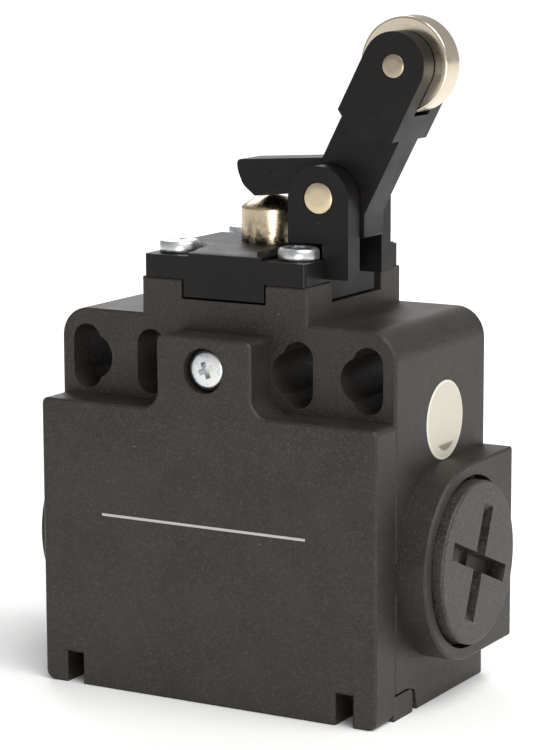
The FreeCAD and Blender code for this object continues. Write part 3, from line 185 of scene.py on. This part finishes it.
carrierNylon = mouldedPlastic("red nylon carrier", {
    "dark": "#8e1f16", "light": "#a3271c", "speck": "#b5453a", "speckShare": 0.15, "dustSpacing": 6.0,
    "grainSize": 0.2, "flowSize": 5.0, "roughness": 0.38, "bump": 0.25, "gloss": 0.5})
sealRubber = mouldedPlastic("black nitrile rubber", {
    "dark": "#161616", "light": "#1e1d1c", "speck": "#2a2928", "speckShare": 0.2, "dustSpacing": 6.0,
    "grainSize": 0.2, "flowSize": 3.0, "roughness": 0.72, "bump": 0.4, "gloss": 0.3})


# ---- metals

metalSurface = {
    "roughnessRange": (0.75, 1.3),  # the blotches make the metal smoother or duller by these factors
    "ringDepth": 0.15,              # height of a lathe ring as a share of its width
}


def turnedMetal(name, look, axis):
    # lathe-turned or drawn metal: fine rings round its axis, faint blotches of handling and oil
    material = newMaterial(name)
    coord = addNode(material, "ShaderNodeTexCoord").outputs["Object"]
    centre, spin = axis
    place = addNode(material, "ShaderNodeMapping",
                    {"Location": tuple(-part for part in centre)}, {"Vector": coord})
    parts = addNode(material, "ShaderNodeSeparateXYZ", links={"Vector": place.outputs[0]})
    across = [letter for letter in "XYZ" if letter != spin]
    squares = [addNode(material, "ShaderNodeMath", {"operation": "POWER", 1: 2.0},
                       {0: parts.outputs[letter]}).outputs[0] for letter in across]
    total = addNode(material, "ShaderNodeMath", {"operation": "ADD"}, {0: squares[0], 1: squares[1]})
    radius = addNode(material, "ShaderNodeMath", {"operation": "SQRT"}, {0: total.outputs[0]})
    ringAt = addNode(material, "ShaderNodeCombineXYZ",
                     links={"X": radius.outputs[0], "Y": parts.outputs[spin]})
    rings = addNode(material, "ShaderNodeTexNoise",
                    {"Scale": 1 / (look["ringSize"] * mm), "Detail": 2.0}, {"Vector": ringAt.outputs[0]})
    blotch = addNode(material, "ShaderNodeTexNoise",
                     {"Scale": 1 / (look["blotchSize"] * mm), "Detail": 5.0, "Roughness": 0.6},
                     {"Vector": coord})
    colour = addNode(material, "ShaderNodeMix",
                     {"data_type": "RGBA", 6: linear(look["dark"]), 7: linear(look["light"])},
                     {0: blotch.outputs["Fac"]})
    if "stain" in look:
        colour = footStain(material, parts.outputs[spin], centre, look["stain"], blotch, colour)
    low, high = metalSurface["roughnessRange"]
    dull = addNode(material, "ShaderNodeMapRange",
                   {"From Min": 0.3, "From Max": 0.7, "To Min": look["roughness"] * low,
                    "To Max": look["roughness"] * high}, {"Value": blotch.outputs["Fac"]})
    bump = addNode(material, "ShaderNodeBump",
                   {"Strength": look["bump"],
                    "Distance": look["ringSize"] * mm * metalSurface["ringDepth"]},
                   {"Height": rings.outputs["Fac"]})
    shader = addNode(material, "ShaderNodeBsdfPrincipled", {"Metallic": 1.0},
                     {"Base Color": colour.outputs[2], "Roughness": dull.outputs[0],
                      "Normal": bump.outputs[0]})
    return finishMaterial(material, shader)


def footStain(material, height, centre, stain, blotch, under):
    # oil and wear that gather where the plunger slides into the head
    fade = addNode(material, "ShaderNodeMapRange",
                   {"From Min": stain["low"] * mm - centre.z, "From Max": stain["high"] * mm - centre.z,
                    "To Min": 0.95, "To Max": 0.0}, {"Value": height})
    patchy = addNode(material, "ShaderNodeMapRange",
                     {"From Min": 0.45, "From Max": 0.58, "To Min": 0.05, "To Max": 1.0},
                     {"Value": blotch.outputs["Fac"]})
    share = addNode(material, "ShaderNodeMath", {"operation": "MULTIPLY"},
                    {0: fade.outputs[0], 1: patchy.outputs[0]})
    return addNode(material, "ShaderNodeMix", {"data_type": "RGBA", 7: linear(stain["colour"])},
                   {0: share.outputs[0], 6: under.outputs[2]})


def middle(node):
    low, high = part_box(node)
    return (low + high) / 2


rollerCentre = middle("roller")
pivotCentre = middle("lever_pivot_pin")
plungerCentre = middle("plunger")
rollerSteel = turnedMetal("polished nickel-plated steel", {
    "dark": "#d6c8b0", "light": "#e6dbc8",
    "roughness": 0.21, "bump": 0.08, "ringSize": 0.25, "blotchSize": 3.0},
    (rollerCentre, "Y"))
pinLook = {"roughness": 0.34, "bump": 0.3, "ringSize": 0.3, "blotchSize": 1.2}
pinSteel = turnedMetal("turned pin steel", {
    "dark": "#c9b898", "light": "#dfceb2", **pinLook}, (pivotCentre, "Y"))
rollerPinSteel = turnedMetal("turned roller pin steel", {
    "dark": "#9d9181", "light": "#b9ab95", **pinLook}, (rollerCentre, "Y"))
plungerSteel = turnedMetal("ground plunger steel", {
    "dark": "#ab9b80", "light": "#d2c2a8", "roughness": 0.27, "bump": 0.2, "ringSize": 0.2, "blotchSize": 0.9,
    "stain": {"low": 59.0, "high": 62.4, "colour": "#33271b"}}, (plungerCentre, "Z"))
springSteel = turnedMetal("drawn spring steel", {
    "dark": "#8d8c88", "light": "#a9a8a3", "roughness": 0.3, "bump": 0.2, "ringSize": 0.2, "blotchSize": 1.0},
    (plungerCentre, "Z"))
terminalBrass = turnedMetal("stamped brass strip", {
    "dark": "#b08a45", "light": "#c9a35a",
    "roughness": 0.32, "bump": 0.25, "ringSize": 0.3, "blotchSize": 2.0},
    (plungerCentre, "X"))
contactSilver = turnedMetal("silver contact alloy", {
    "dark": "#c7c5bf", "light": "#dddbd5",
    "roughness": 0.22, "bump": 0.2, "ringSize": 0.15, "blotchSize": 0.8},
    (plungerCentre, "Z"))


zincLook = {
    "cloudSize": 1.1, "scratchSize": 0.15, "scratchDepth": 0.02, "bump": 0.25, "roughness": (0.26, 0.42),
    "tints": ((0.30, "#c9d0d8"), (0.5, "#e2e5e6"), (0.72, "#e6e2d6")),
}


def zincPlate(name):
    # bright zinc on a pressed screw: mirror-like, cloudy, with a faint blue and yellow tint
    material = newMaterial(name)
    coord = addNode(material, "ShaderNodeTexCoord").outputs["Object"]
    cloud = addNode(material, "ShaderNodeTexNoise",
                    {"Scale": 1 / (zincLook["cloudSize"] * mm), "Detail": 4.0}, {"Vector": coord})
    tint = addNode(material, "ShaderNodeValToRGB", links={"Fac": cloud.outputs["Fac"]})
    ramp = tint.color_ramp
    cold, white, warm = zincLook["tints"]
    for stop, (place, colour) in zip(ramp.elements, (cold, warm)):
        stop.position = place
        stop.color = linear(colour)
    ramp.elements.new(white[0]).color = linear(white[1])
    scratch = addNode(material, "ShaderNodeTexNoise",
                      {"Scale": 1 / (zincLook["scratchSize"] * mm), "Detail": 2.0}, {"Vector": coord})
    smooth, rough = zincLook["roughness"]
    dull = addNode(material, "ShaderNodeMapRange",
                   {"From Min": 0.3, "From Max": 0.7, "To Min": smooth, "To Max": rough},
                   {"Value": cloud.outputs["Fac"]})
    bump = addNode(material, "ShaderNodeBump",
                   {"Strength": zincLook["bump"], "Distance": zincLook["scratchDepth"] * mm},
                   {"Height": scratch.outputs["Fac"]})
    shader = addNode(material, "ShaderNodeBsdfPrincipled", {"Metallic": 1.0},
                     {"Base Color": tint.outputs["Color"], "Roughness": dull.outputs[0],
                      "Normal": bump.outputs[0]})
    return finishMaterial(material, shader)


zincSteel = zincPlate("bright zinc-plated steel")


# ---- paper seal

stickerLook = {
    # rim: the whiter band near the edge is a painted highlight on the sticker's edge
    "paper": ("#bdb6a4", "#c8c2b1"), "rim": "#d6d3c8", "rimHighlightShare": (0.93, 0.97),
    "fibreSize": 0.6, "bump": 0.1, "bumpDepth": 0.02, "roughness": 0.36,
    # the mark's places and sizes are shares of the sticker's radius
    "mark": {"colour": "#6d6962", "strength": 0.9, "line": 0.60, "lineBlur": 0.02,
             "across": 0.04, "down": 0.20, "reach": (0.55, 0.60)},
}


def stickerPaper(name, centre, radius):
    # coated cream paper; the whiter band along its rim is a painted highlight on the sticker's edge
    material = newMaterial(name)
    coord = addNode(material, "ShaderNodeTexCoord").outputs["Object"]
    away = addNode(material, "ShaderNodeVectorMath", {"operation": "DISTANCE", 1: tuple(centre)}, {0: coord})
    # the whiter band near the rim is a painted highlight along the sticker's edge
    inner, outer = stickerLook["rimHighlightShare"]
    rim = addNode(material, "ShaderNodeMapRange",
                  {"From Min": radius * inner, "From Max": radius * outer, "To Min": 0.0, "To Max": 1.0},
                  {"Value": away.outputs["Value"]})
    fibre = addNode(material, "ShaderNodeTexNoise",
                    {"Scale": 1 / (stickerLook["fibreSize"] * mm), "Detail": 4.0}, {"Vector": coord})
    darker, lighter = stickerLook["paper"]
    paper = addNode(material, "ShaderNodeMix",
                    {"data_type": "RGBA", 6: linear(darker), 7: linear(lighter)},
                    {0: fibre.outputs["Fac"]})
    # a grey pressed mark near the lower edge: below a level line and inside a small circle
    mark = stickerLook["mark"]
    parts = addNode(material, "ShaderNodeSeparateXYZ", links={"Vector": coord})
    line = centre.z - radius * mark["line"]
    blur = radius * mark["lineBlur"]
    below = addNode(material, "ShaderNodeMapRange",
                    {"From Min": line - blur, "From Max": line + blur,
                     "To Min": mark["strength"], "To Max": 0.0}, {"Value": parts.outputs["Z"]})
    markCentre = (centre.x, centre.y + radius * mark["across"], centre.z - radius * mark["down"])
    reach = addNode(material, "ShaderNodeVectorMath", {"operation": "DISTANCE", 1: markCentre}, {0: coord})
    near, far = mark["reach"]
    inside = addNode(material, "ShaderNodeMapRange",
                     {"From Min": radius * near, "From Max": radius * far, "To Min": 1.0, "To Max": 0.0},
                     {"Value": reach.outputs["Value"]})
    crescent = addNode(material, "ShaderNodeMath", {"operation": "MULTIPLY"},
                       {0: below.outputs[0], 1: inside.outputs[0]})
    marked = addNode(material, "ShaderNodeMix", {"data_type": "RGBA", 7: linear(mark["colour"])},
                     {0: crescent.outputs[0], 6: paper.outputs[2]})
    # mix in the painted rim highlight
    colour = addNode(material, "ShaderNodeMix", {"data_type": "RGBA", 7: linear(stickerLook["rim"])},
                     {0: rim.outputs[0], 6: marked.outputs[2]})
    bump = addNode(material, "ShaderNodeBump",
                   {"Strength": stickerLook["bump"], "Distance": stickerLook["bumpDepth"] * mm},
                   {"Height": fibre.outputs["Fac"]})
    shader = addNode(material, "ShaderNodeBsdfPrincipled",
                     {"Roughness": stickerLook["roughness"], "IOR": 1.5},
                     {"Base Color": colour.outputs[2], "Normal": bump.outputs[0]})
    return finishMaterial(material, shader)


stickerCentre = middle("side_seal_sticker")
stickerLow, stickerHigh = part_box("side_seal_sticker")
creamPaper = stickerPaper("cream coated paper", stickerCentre, (stickerHigh.z - stickerLow.z) / 2)
print("materials made:", len(bpy.data.materials))


# ---- CAD nodes keep their shape and get their finish; both pins and the cover have their own

finishes = {
    "housing_plastic": housingNylon, "head_plastic": headNylon, "plug_plastic": plugNylon,
    "block_plastic": blockMelamine, "carrier_plastic": carrierNylon, "plunger_steel": plungerSteel,
    "roller_steel": rollerSteel, "pin_steel": pinSteel, "zinc_steel": zincSteel,
    "spring_steel": springSteel, "terminal_brass": terminalBrass, "contact_silver": contactSilver,
    "seal_rubber": sealRubber, "sticker_paper": creamPaper}
slotOf = {part["node"]: part["material_slot"] for part in frame["record"]["subparts"]}
for name, node in nodes.items():
    node.data.materials.clear()
    node.data.materials.append(finishes[slotOf[name]])
nodes["roller_pin"].data.materials[0] = rollerPinSteel
nodes["front_cover"].data.materials[0] = coverNylon
print("CAD nodes dressed")


# ---- building helpers: shapes are made in millimetres and brought to metres at the end

def finishPiece(name, shape, material, body, replaced, smoothBelow=40):
    bmesh.ops.scale(shape, vec=(mm, mm, mm), verts=shape.verts)
    mesh = bpy.data.meshes.new(name)
    shape.to_mesh(mesh)
    shape.free()
    mesh.polygons.foreach_set("use_smooth", [True] * len(mesh.polygons))
    mesh.set_sharp_from_angle(angle=math.radians(smoothBelow))
    mesh.materials.append(material)
    piece = bpy.data.objects.new(name, mesh)
    bpy.context.scene.collection.objects.link(piece)
    weighted = piece.modifiers.new("weighted normals", "WEIGHTED_NORMAL")
    weighted.keep_sharp = True
    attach(piece, body)
    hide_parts(replaced)
    return piece


def turnedShape(profile, place, way, steps=96, closed=False):
    # lathe work: a profile of (radius, height) spun round Z, then turned to its way and moved
    shape = bmesh.new()
    points = [shape.verts.new((radius, 0, height)) for radius, height in profile]
    lines = [shape.edges.new(pair) for pair in zip(points, points[1:])]
    if closed:
        lines.append(shape.edges.new((points[-1], points[0])))
    bmesh.ops.spin(shape, geom=points + lines, cent=(0, 0, 0), axis=(0, 0, 1), dvec=(0, 0, 0),
                   angle=math.tau, steps=steps, use_merge=True, use_duplicate=False)
    bmesh.ops.remove_doubles(shape, verts=shape.verts, dist=0.0005)
    bmesh.ops.recalc_face_normals(shape, faces=shape.faces)
    turn = Vector((0, 0, 1)).rotation_difference(Vector(way)).to_matrix()
    bmesh.ops.rotate(shape, cent=(0, 0, 0), matrix=turn, verts=shape.verts)
    bmesh.ops.translate(shape, vec=place, verts=shape.verts)
    return shape


def rounded(centre, radius, start, end, steps=5):
    # points of an arc in a profile, angles in degrees from the outward direction
    return [(centre[0] + radius * math.cos(math.radians(start + (end - start) * i / steps)),
             centre[1] + radius * math.sin(math.radians(start + (end - start) * i / steps)))
            for i in range(steps + 1)]


# ---- mouldings: merged copies of the CAD solids with rounded edges

# round is the edges' radius in millimetres, smooth the angle below which faces blend
mouldings = {
    "base_housing": {"piece": "housing_moulding", "material": housingNylon, "body": "housing",
                     "round": 0.22, "smooth": 45},
    "front_cover": {"piece": "cover_moulding", "material": coverNylon, "body": "housing",
                    "round": 0.22, "smooth": 45},
    "head_body": {"piece": "head_moulding", "material": headNylon, "body": "housing",
                  "round": 0.12, "smooth": 24},
    "lever_arm": {"piece": "lever_moulding", "material": headNylon, "body": "lever",
                  "round": 0.16, "smooth": 35},
}
mergeDistance = 0.002   # millimetres
flatAngle = 0.6         # degrees: facets of one flat face
sharpAngle = 40         # degrees: edges that get rounded


def mouldingShape(node, roundness):
    shape = bmesh.new()
    shape.from_mesh(nodes[node].data)
    bmesh.ops.scale(shape, vec=(1 / mm, 1 / mm, 1 / mm), verts=shape.verts)
    bmesh.ops.remove_doubles(shape, verts=shape.verts, dist=mergeDistance)
    bmesh.ops.dissolve_limit(shape, angle_limit=math.radians(flatAngle), verts=shape.verts,
                             edges=shape.edges)
    sharp = [edge for edge in shape.edges
             if len(edge.link_faces) == 2 and edge.calc_face_angle(0) > math.radians(sharpAngle)]
    bmesh.ops.bevel(shape, geom=sharp, offset=roundness, offset_type="OFFSET", segments=2, profile=0.5,
                    affect="EDGES", clamp_overlap=True, material=-1, miter_outer="SHARP")
    return shape


for node, moulding in mouldings.items():
    shape = mouldingShape(node, moulding["round"])
    finishPiece(moulding["piece"], shape, moulding["material"], moulding["body"], node,
                moulding["smooth"])
print("mouldings rounded")


# ---- screws: pan heads with a cross recess

screwLook = {
    "recess": {"length": 3.1, "width": 0.85, "depth": 1.15, "taper": 0.45, "narrow": 0.7},
    "crown": 0.62,          # rounding of the head's upper edge
    "side": 0.35,           # rounding of the head's side
    "point": 0.5,           # chamfer at the shank's end
    "spins": (52, 24, 71, 8, 24),   # how far each recess is turned, the cover's screw last
    "head": {"node": "head_screws", "diameter": 5.4, "rise": 1.7, "shank": 2.8, "length": 7.8},
    "cover": {"node": "cover_screw", "diameter": 5.2, "rise": 1.7, "shank": 2.9, "length": 9.0},
}


def screwProfile(size):
    edge = size["diameter"] / 2
    rise = size["rise"]
    shank = size["shank"] / 2
    crown, side, point = (screwLook[key] for key in ("crown", "side", "point"))
    return ([(0, rise), (edge * 0.45, rise - 0.02)]
            + rounded((edge - crown, rise - crown - 0.06), crown, 82, 20, 4)
            + rounded((edge - side, 0.55), side, 10, -10, 2) + rounded((edge - 0.3, 0.3), 0.3, -20, -90, 3)
            + [(shank, 0), (shank, -size["length"] + point), (shank - point, -size["length"]),
               (0, -size["length"])])


def crossCutter(place, way, spin, recess):
    # two crossed wedges, wide at the mouth and narrow at the bottom
    cutter = bmesh.new()
    for turn in (0, 90):
        wedge = bmesh.ops.create_cube(cutter, size=1.0)["verts"]
        for vert in wedge:
            mouth = vert.co.z > 0
            vert.co.x *= recess["length"] * (1.0 if mouth else recess["taper"])
            vert.co.y *= recess["width"] * (1.0 if mouth else recess["narrow"])
            vert.co.z *= recess["depth"] * 2
        bmesh.ops.rotate(cutter, cent=(0, 0, 0),
                         matrix=Matrix.Rotation(math.radians(spin + turn), 3, "Z"), verts=wedge)
    turn = Vector((0, 0, 1)).rotation_difference(Vector(way)).to_matrix()
    bmesh.ops.rotate(cutter, cent=(0, 0, 0), matrix=turn, verts=cutter.verts)
    bmesh.ops.translate(cutter, vec=place, verts=cutter.verts)
    return cutter


def carved(shape, cutter):
    # boolean cut of one bmesh by another, through two short-lived objects
    pair = []
    for part in (shape, cutter):
        mesh = bpy.data.meshes.new("stock")
        part.to_mesh(mesh)
        part.free()
        stock = bpy.data.objects.new("stock", mesh)
        bpy.context.scene.collection.objects.link(stock)
        pair.append(stock)
    cut = pair[0].modifiers.new("recess", "BOOLEAN")
    cut.object = pair[1]
    cut.solver = "EXACT"
    cut.use_self = True
    bpy.context.view_layer.update()
    result = bmesh.new()
    result.from_object(pair[0], bpy.context.evaluated_depsgraph_get())
    for stock in pair:
        mesh = stock.data
        bpy.data.objects.remove(stock)
        bpy.data.meshes.remove(mesh)
    return result


def panScrew(place, way, spin, size):
    shape = turnedShape(screwProfile(size), place, way, 64)
    mouth = Vector(place) + Vector(way) * size["rise"]
    return carved(shape, crossCutter(mouth, way, spin, screwLook["recess"]))


def headScrews():
    size = screwLook["head"]
    low, high = (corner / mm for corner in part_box(size["node"]))
    edge = size["diameter"] / 2
    seat = high.z - size["rise"]
    together = bmesh.new()
    spins = iter(screwLook["spins"])
    for x in (low.x + edge, high.x - edge):
        for y in (low.y + edge, high.y - edge):
            one = panScrew((x, y, seat), (0, 0, 1), next(spins), size)
            mesh = bpy.data.meshes.new("one")
            one.to_mesh(mesh)
            one.free()
            together.from_mesh(mesh)
            bpy.data.meshes.remove(mesh)
    finishPiece("head_pan_screws", together, zincSteel, "housing", size["node"], smoothBelow=35)


def coverScrew():
    size = screwLook["cover"]
    low, high = (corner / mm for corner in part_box(size["node"]))
    place = ((low.x + high.x) / 2, low.y + size["rise"], (low.z + high.z) / 2)
    shape = panScrew(place, (0, -1, 0), screwLook["spins"][-1], size)
    finishPiece("cover_pan_screw", shape, zincSteel, "housing", size["node"], smoothBelow=35)


headScrews()
coverScrew()
print("screws made")


# ---- blanking plugs: a turned flange with two crossed slots, one level and one scooped

plugLook = {
    "thick": 2.1, "edge": 0.4, "shank": 18.5, "shankLength": 7.0, "hollow": 12.5, "hollowDepth": 3.2,
    "level": {"angle": 68.0, "length": 16.6, "width": 2.3, "depth": 2.4},
    "scooped": {"angle": -22.0, "length": 15.4, "width": 2.7, "depth": 3.1},
}


def slotCutter(slot, top):
    # level slot: a bar with a flat floor
    cutter = bmesh.new()
    bmesh.ops.create_cube(cutter, size=1.0)
    bmesh.ops.scale(cutter, vec=(slot["length"], slot["width"], slot["depth"] * 2), verts=cutter.verts)
    bmesh.ops.translate(cutter, vec=(0, 0, top), verts=cutter.verts)
    bmesh.ops.rotate(cutter, cent=(0, 0, 0), matrix=Matrix.Rotation(math.radians(slot["angle"]), 3, "Z"),
                     verts=cutter.verts)
    return cutter


def scoopCutter(slot, top):
    # scooped slot: a saw-cut disc, deepest in the middle and running out at both ends
    radius = ((slot["length"] / 2) ** 2 + slot["depth"] ** 2) / (2 * slot["depth"])
    cutter = bmesh.new()
    bmesh.ops.create_cone(cutter, cap_ends=True, segments=96, radius1=radius, radius2=radius,
                          depth=slot["width"])
    bmesh.ops.rotate(cutter, cent=(0, 0, 0), matrix=Matrix.Rotation(math.pi / 2, 3, "X"), verts=cutter.verts)
    bmesh.ops.translate(cutter, vec=(0, 0, top + radius - slot["depth"]), verts=cutter.verts)
    bmesh.ops.rotate(cutter, cent=(0, 0, 0), matrix=Matrix.Rotation(math.radians(slot["angle"]), 3, "Z"),
                     verts=cutter.verts)
    return cutter


def blankingPlug(node, name, side):
    low, high = (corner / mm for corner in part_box(node))
    flange = (high.z - low.z) / 2
    top = plugLook["thick"]
    edge = plugLook["edge"]
    shank = plugLook["shank"] / 2
    hollow = plugLook["hollow"] / 2
    base = -plugLook["shankLength"]
    floor = base + plugLook["hollowDepth"]
    profile = ([(0, top)] + rounded((flange - edge, top - edge), edge, 88, 2, 6)
               + [(flange, 0.1), (flange - 0.1, 0), (shank, 0), (shank, base + 0.3), (shank - 0.3, base),
                  (hollow, base), (hollow, floor), (0, floor)])
    shape = turnedShape(profile, (0, 0, 0), (0, 0, 1), 128)
    shape = carved(shape, slotCutter(plugLook["level"], top))
    shape = carved(shape, scoopCutter(plugLook["scooped"], top))
    bmesh.ops.rotate(shape, cent=(0, 0, 0), matrix=Matrix.Rotation(side * math.pi / 2, 3, "Y"),
                     verts=shape.verts)
    outer = high.x if side > 0 else low.x
    place = (outer - side * top, (low.y + high.y) / 2, (low.z + high.z) / 2)
    bmesh.ops.translate(shape, vec=place, verts=shape.verts)
    finishPiece(name, shape, plugNylon, "housing", node, smoothBelow=40)


blankingPlug("conduit_plug_right", "plug_right", 1)
blankingPlug("conduit_plug_left", "plug_left", -1)
print("plugs made")


# ---- turned pieces: roller, its pin, the pivot pin and the plunger

turnedLook = {
    "roller": {"bore": 1.66, "hub": 2.7, "hubRise": 0.075, "edge": 0.3},
    "plunger": {"radius": 4.15, "dome": 6.2, "rim": 63.3, "collarTop": 49.9, "collarFoot": 48.4,
                "rod": 2.4, "chamfer": 0.1},
}


def rollerWheel():
    low, high = (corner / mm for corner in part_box("roller"))
    look = turnedLook["roller"]
    rim = (high.x - low.x) / 2
    hubEnd = (high.y - low.y) / 2
    face = hubEnd - look["hubRise"]
    soft = look["edge"]
    half = ([(look["bore"], hubEnd), (look["hub"], hubEnd), (look["hub"] + 0.1, face),
             (rim - soft - 0.02, face)]
            + rounded((rim - soft, face - soft), soft, 84, 4, 6) + [(rim, face - soft - 0.05)])
    profile = half + [(radius, -along) for radius, along in reversed(half)]
    place = (low + high) / 2
    shape = turnedShape(profile, place, (0, -1, 0), 144, closed=True)
    finishPiece("roller_wheel", shape, rollerSteel, "roller_wheel", "roller", smoothBelow=50)


def pin(node, name, material, body):
    low, high = (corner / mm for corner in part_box(node))
    radius = (high.x - low.x) / 2
    half = (high.y - low.y) / 2
    end = [(0, half), (radius * 0.5, half - 0.01), (radius - 0.2, half - 0.03), (radius - 0.07, half - 0.09),
           (radius, half - 0.2)]
    profile = end + [(across, -along) for across, along in reversed(end)]
    shape = turnedShape(profile, (low + high) / 2, (0, -1, 0), 64)
    finishPiece(name, shape, material, body, node, smoothBelow=50)


def domedPlunger():
    low, high = (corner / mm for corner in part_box("plunger"))
    centre = (low + high) / 2
    collar = (high.x - low.x) / 2
    look = turnedLook["plunger"]
    outside, dome, rim, rod = (look[key] for key in ("radius", "dome", "rim", "rod"))
    top, foot, chamfer = (look[key] for key in ("collarTop", "collarFoot", "chamfer"))
    domeFrom = math.degrees(math.asin((rim - high.z + dome) / dome))
    profile = (rounded((0, high.z - dome), dome, 90, domeFrom + 2.5, 14)
               + [(outside - 0.03, rim - 0.02), (outside, rim - 0.14), (outside, top),
                  (collar - chamfer, top), (collar, top - chamfer), (collar, foot + chamfer),
                  (collar - chamfer, foot), (rod, foot), (rod, low.z + 0.3), (rod - 0.3, low.z),
                  (0, low.z)])
    shape = turnedShape(profile, (centre.x, centre.y, 0), (0, 0, 1), 96)
    finishPiece("domed_plunger", shape, plungerSteel, "plunger", "plunger", smoothBelow=22)


rollerWheel()
pin("roller_pin", "roller_axle", rollerPinSteel, "lever")
pin("lever_pivot_pin", "pivot_axle", pinSteel, "housing")
domedPlunger()
print("turned pieces made")


# ---- paper seal: a thin disc with a soft edge

def paperSeal():
    low, high = (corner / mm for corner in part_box("side_seal_sticker"))
    radius = (high.z - low.z) / 2
    thick = high.x - low.x
    profile = [(0, thick), (radius - 0.12, thick), (radius - 0.03, thick * 0.7), (radius, thick * 0.2),
               (radius, 0), (0, 0)]
    shape = turnedShape(profile, (low.x, (low.y + high.y) / 2, (low.z + high.z) / 2), (1, 0, 0), 96)
    finishPiece("paper_seal", shape, creamPaper, "housing", "side_seal_sticker", smoothBelow=50)


paperSeal()
print("paper seal made")


# ---- studio: pale floor, soft light and the photo's camera

studio = {
    "floorSize": 6.0,
    "floorColour": "#fcfcfb",
    "backdrop": 1.0,            # what the camera sees of the world
    "worldLight": (0.35, 0.50),     # what the world gives as light, from the left and from the right
    "focalLength": 129.88,      # millimetres on a 36 mm sensor
    "sun": {"from": (0.55, -0.12, 0.83), "strength": 2.55, "spread": 50},
    "cameraPlace": (0.17614, -0.30574, 0.10288),
    "cameraRight": (0.868632, 0.495448, -0.003196),
    "cameraAhead": (-0.488512, 0.855359, -0.172386),
    "aim": (0, 0, 0.04),        # where the lamps point
    "lights": {
        "low": {"at": (0.14, -0.25, 0.03), "size": 0.12, "watts": 0.26},
        "rim": {"at": (-0.35, 0.45, 0.45), "size": 0.40, "watts": 1.5},
    },
}


def buildStudio():
    mesh = bpy.data.meshes.new("floor")
    shape = bmesh.new()
    bmesh.ops.create_grid(shape, x_segments=1, y_segments=1, size=studio["floorSize"])
    shape.to_mesh(mesh)
    shape.free()
    floor = bpy.data.objects.new("floor", mesh)
    bpy.context.scene.collection.objects.link(floor)
    paper = newMaterial("white studio paper")
    shader = addNode(paper, "ShaderNodeBsdfPrincipled",
                     {"Base Color": linear(studio["floorColour"]), "Roughness": 0.85})
    finishMaterial(paper, shader)
    mesh.materials.append(paper)
    for name, lamp in studio["lights"].items():
        data = bpy.data.lights.new(name, "AREA")
        data.shape = "DISK"
        data.size = lamp["size"]
        data.energy = lamp["watts"]
        light = bpy.data.objects.new(name, data)
        bpy.context.scene.collection.objects.link(light)
        aim = Vector(studio["aim"]) - Vector(lamp["at"])
        turn = aim.to_track_quat("-Z", "Y").to_matrix().to_4x4()
        light.matrix_world = Matrix.Translation(lamp["at"]) @ turn
    sun = bpy.data.lights.new("sun", "SUN")
    sun.energy = studio["sun"]["strength"]
    sun.angle = math.radians(studio["sun"]["spread"])
    lamp = bpy.data.objects.new("sun", sun)
    bpy.context.scene.collection.objects.link(lamp)
    lamp.matrix_world = Vector(studio["sun"]["from"]).to_track_quat("Z", "Y").to_matrix().to_4x4()
    world = bpy.data.worlds.new("studio")
    world.use_nodes = True
    tree = world.node_tree
    background = tree.nodes["Background"]
    background.inputs["Color"].default_value = (1, 1, 1, 1)
    path = tree.nodes.new("ShaderNodeLightPath")
    direction = tree.nodes.new("ShaderNodeSeparateXYZ")
    tree.links.new(tree.nodes.new("ShaderNodeTexCoord").outputs["Generated"], direction.inputs[0])
    sides = tree.nodes.new("ShaderNodeMapRange")
    sides.inputs["From Min"].default_value = -1
    sides.inputs["To Min"].default_value, sides.inputs["To Max"].default_value = studio["worldLight"]
    tree.links.new(direction.outputs["X"], sides.inputs["Value"])
    strength = tree.nodes.new("ShaderNodeMix")
    strength.inputs[3].default_value = studio["backdrop"]
    tree.links.new(path.outputs["Is Camera Ray"], strength.inputs[0])
    tree.links.new(sides.outputs[0], strength.inputs[2])
    tree.links.new(strength.outputs[0], background.inputs["Strength"])
    bpy.context.scene.world = world
    bpy.context.scene.view_settings.view_transform = "Standard"


def buildCamera():
    data = bpy.data.cameras.new("camera")
    data.lens = studio["focalLength"]
    data.sensor_width = 36
    data.clip_start = 0.01
    camera = bpy.data.objects.new("camera", data)
    bpy.context.scene.collection.objects.link(camera)
    right = Vector(studio["cameraRight"])
    ahead = Vector(studio["cameraAhead"])
    up = right.cross(ahead)
    turn = Matrix((right, up, -ahead)).transposed().to_4x4()
    camera.matrix_world = Matrix.Translation(studio["cameraPlace"]) @ turn
    bpy.context.scene.camera = camera


buildStudio()
buildCamera()
print("studio ready")
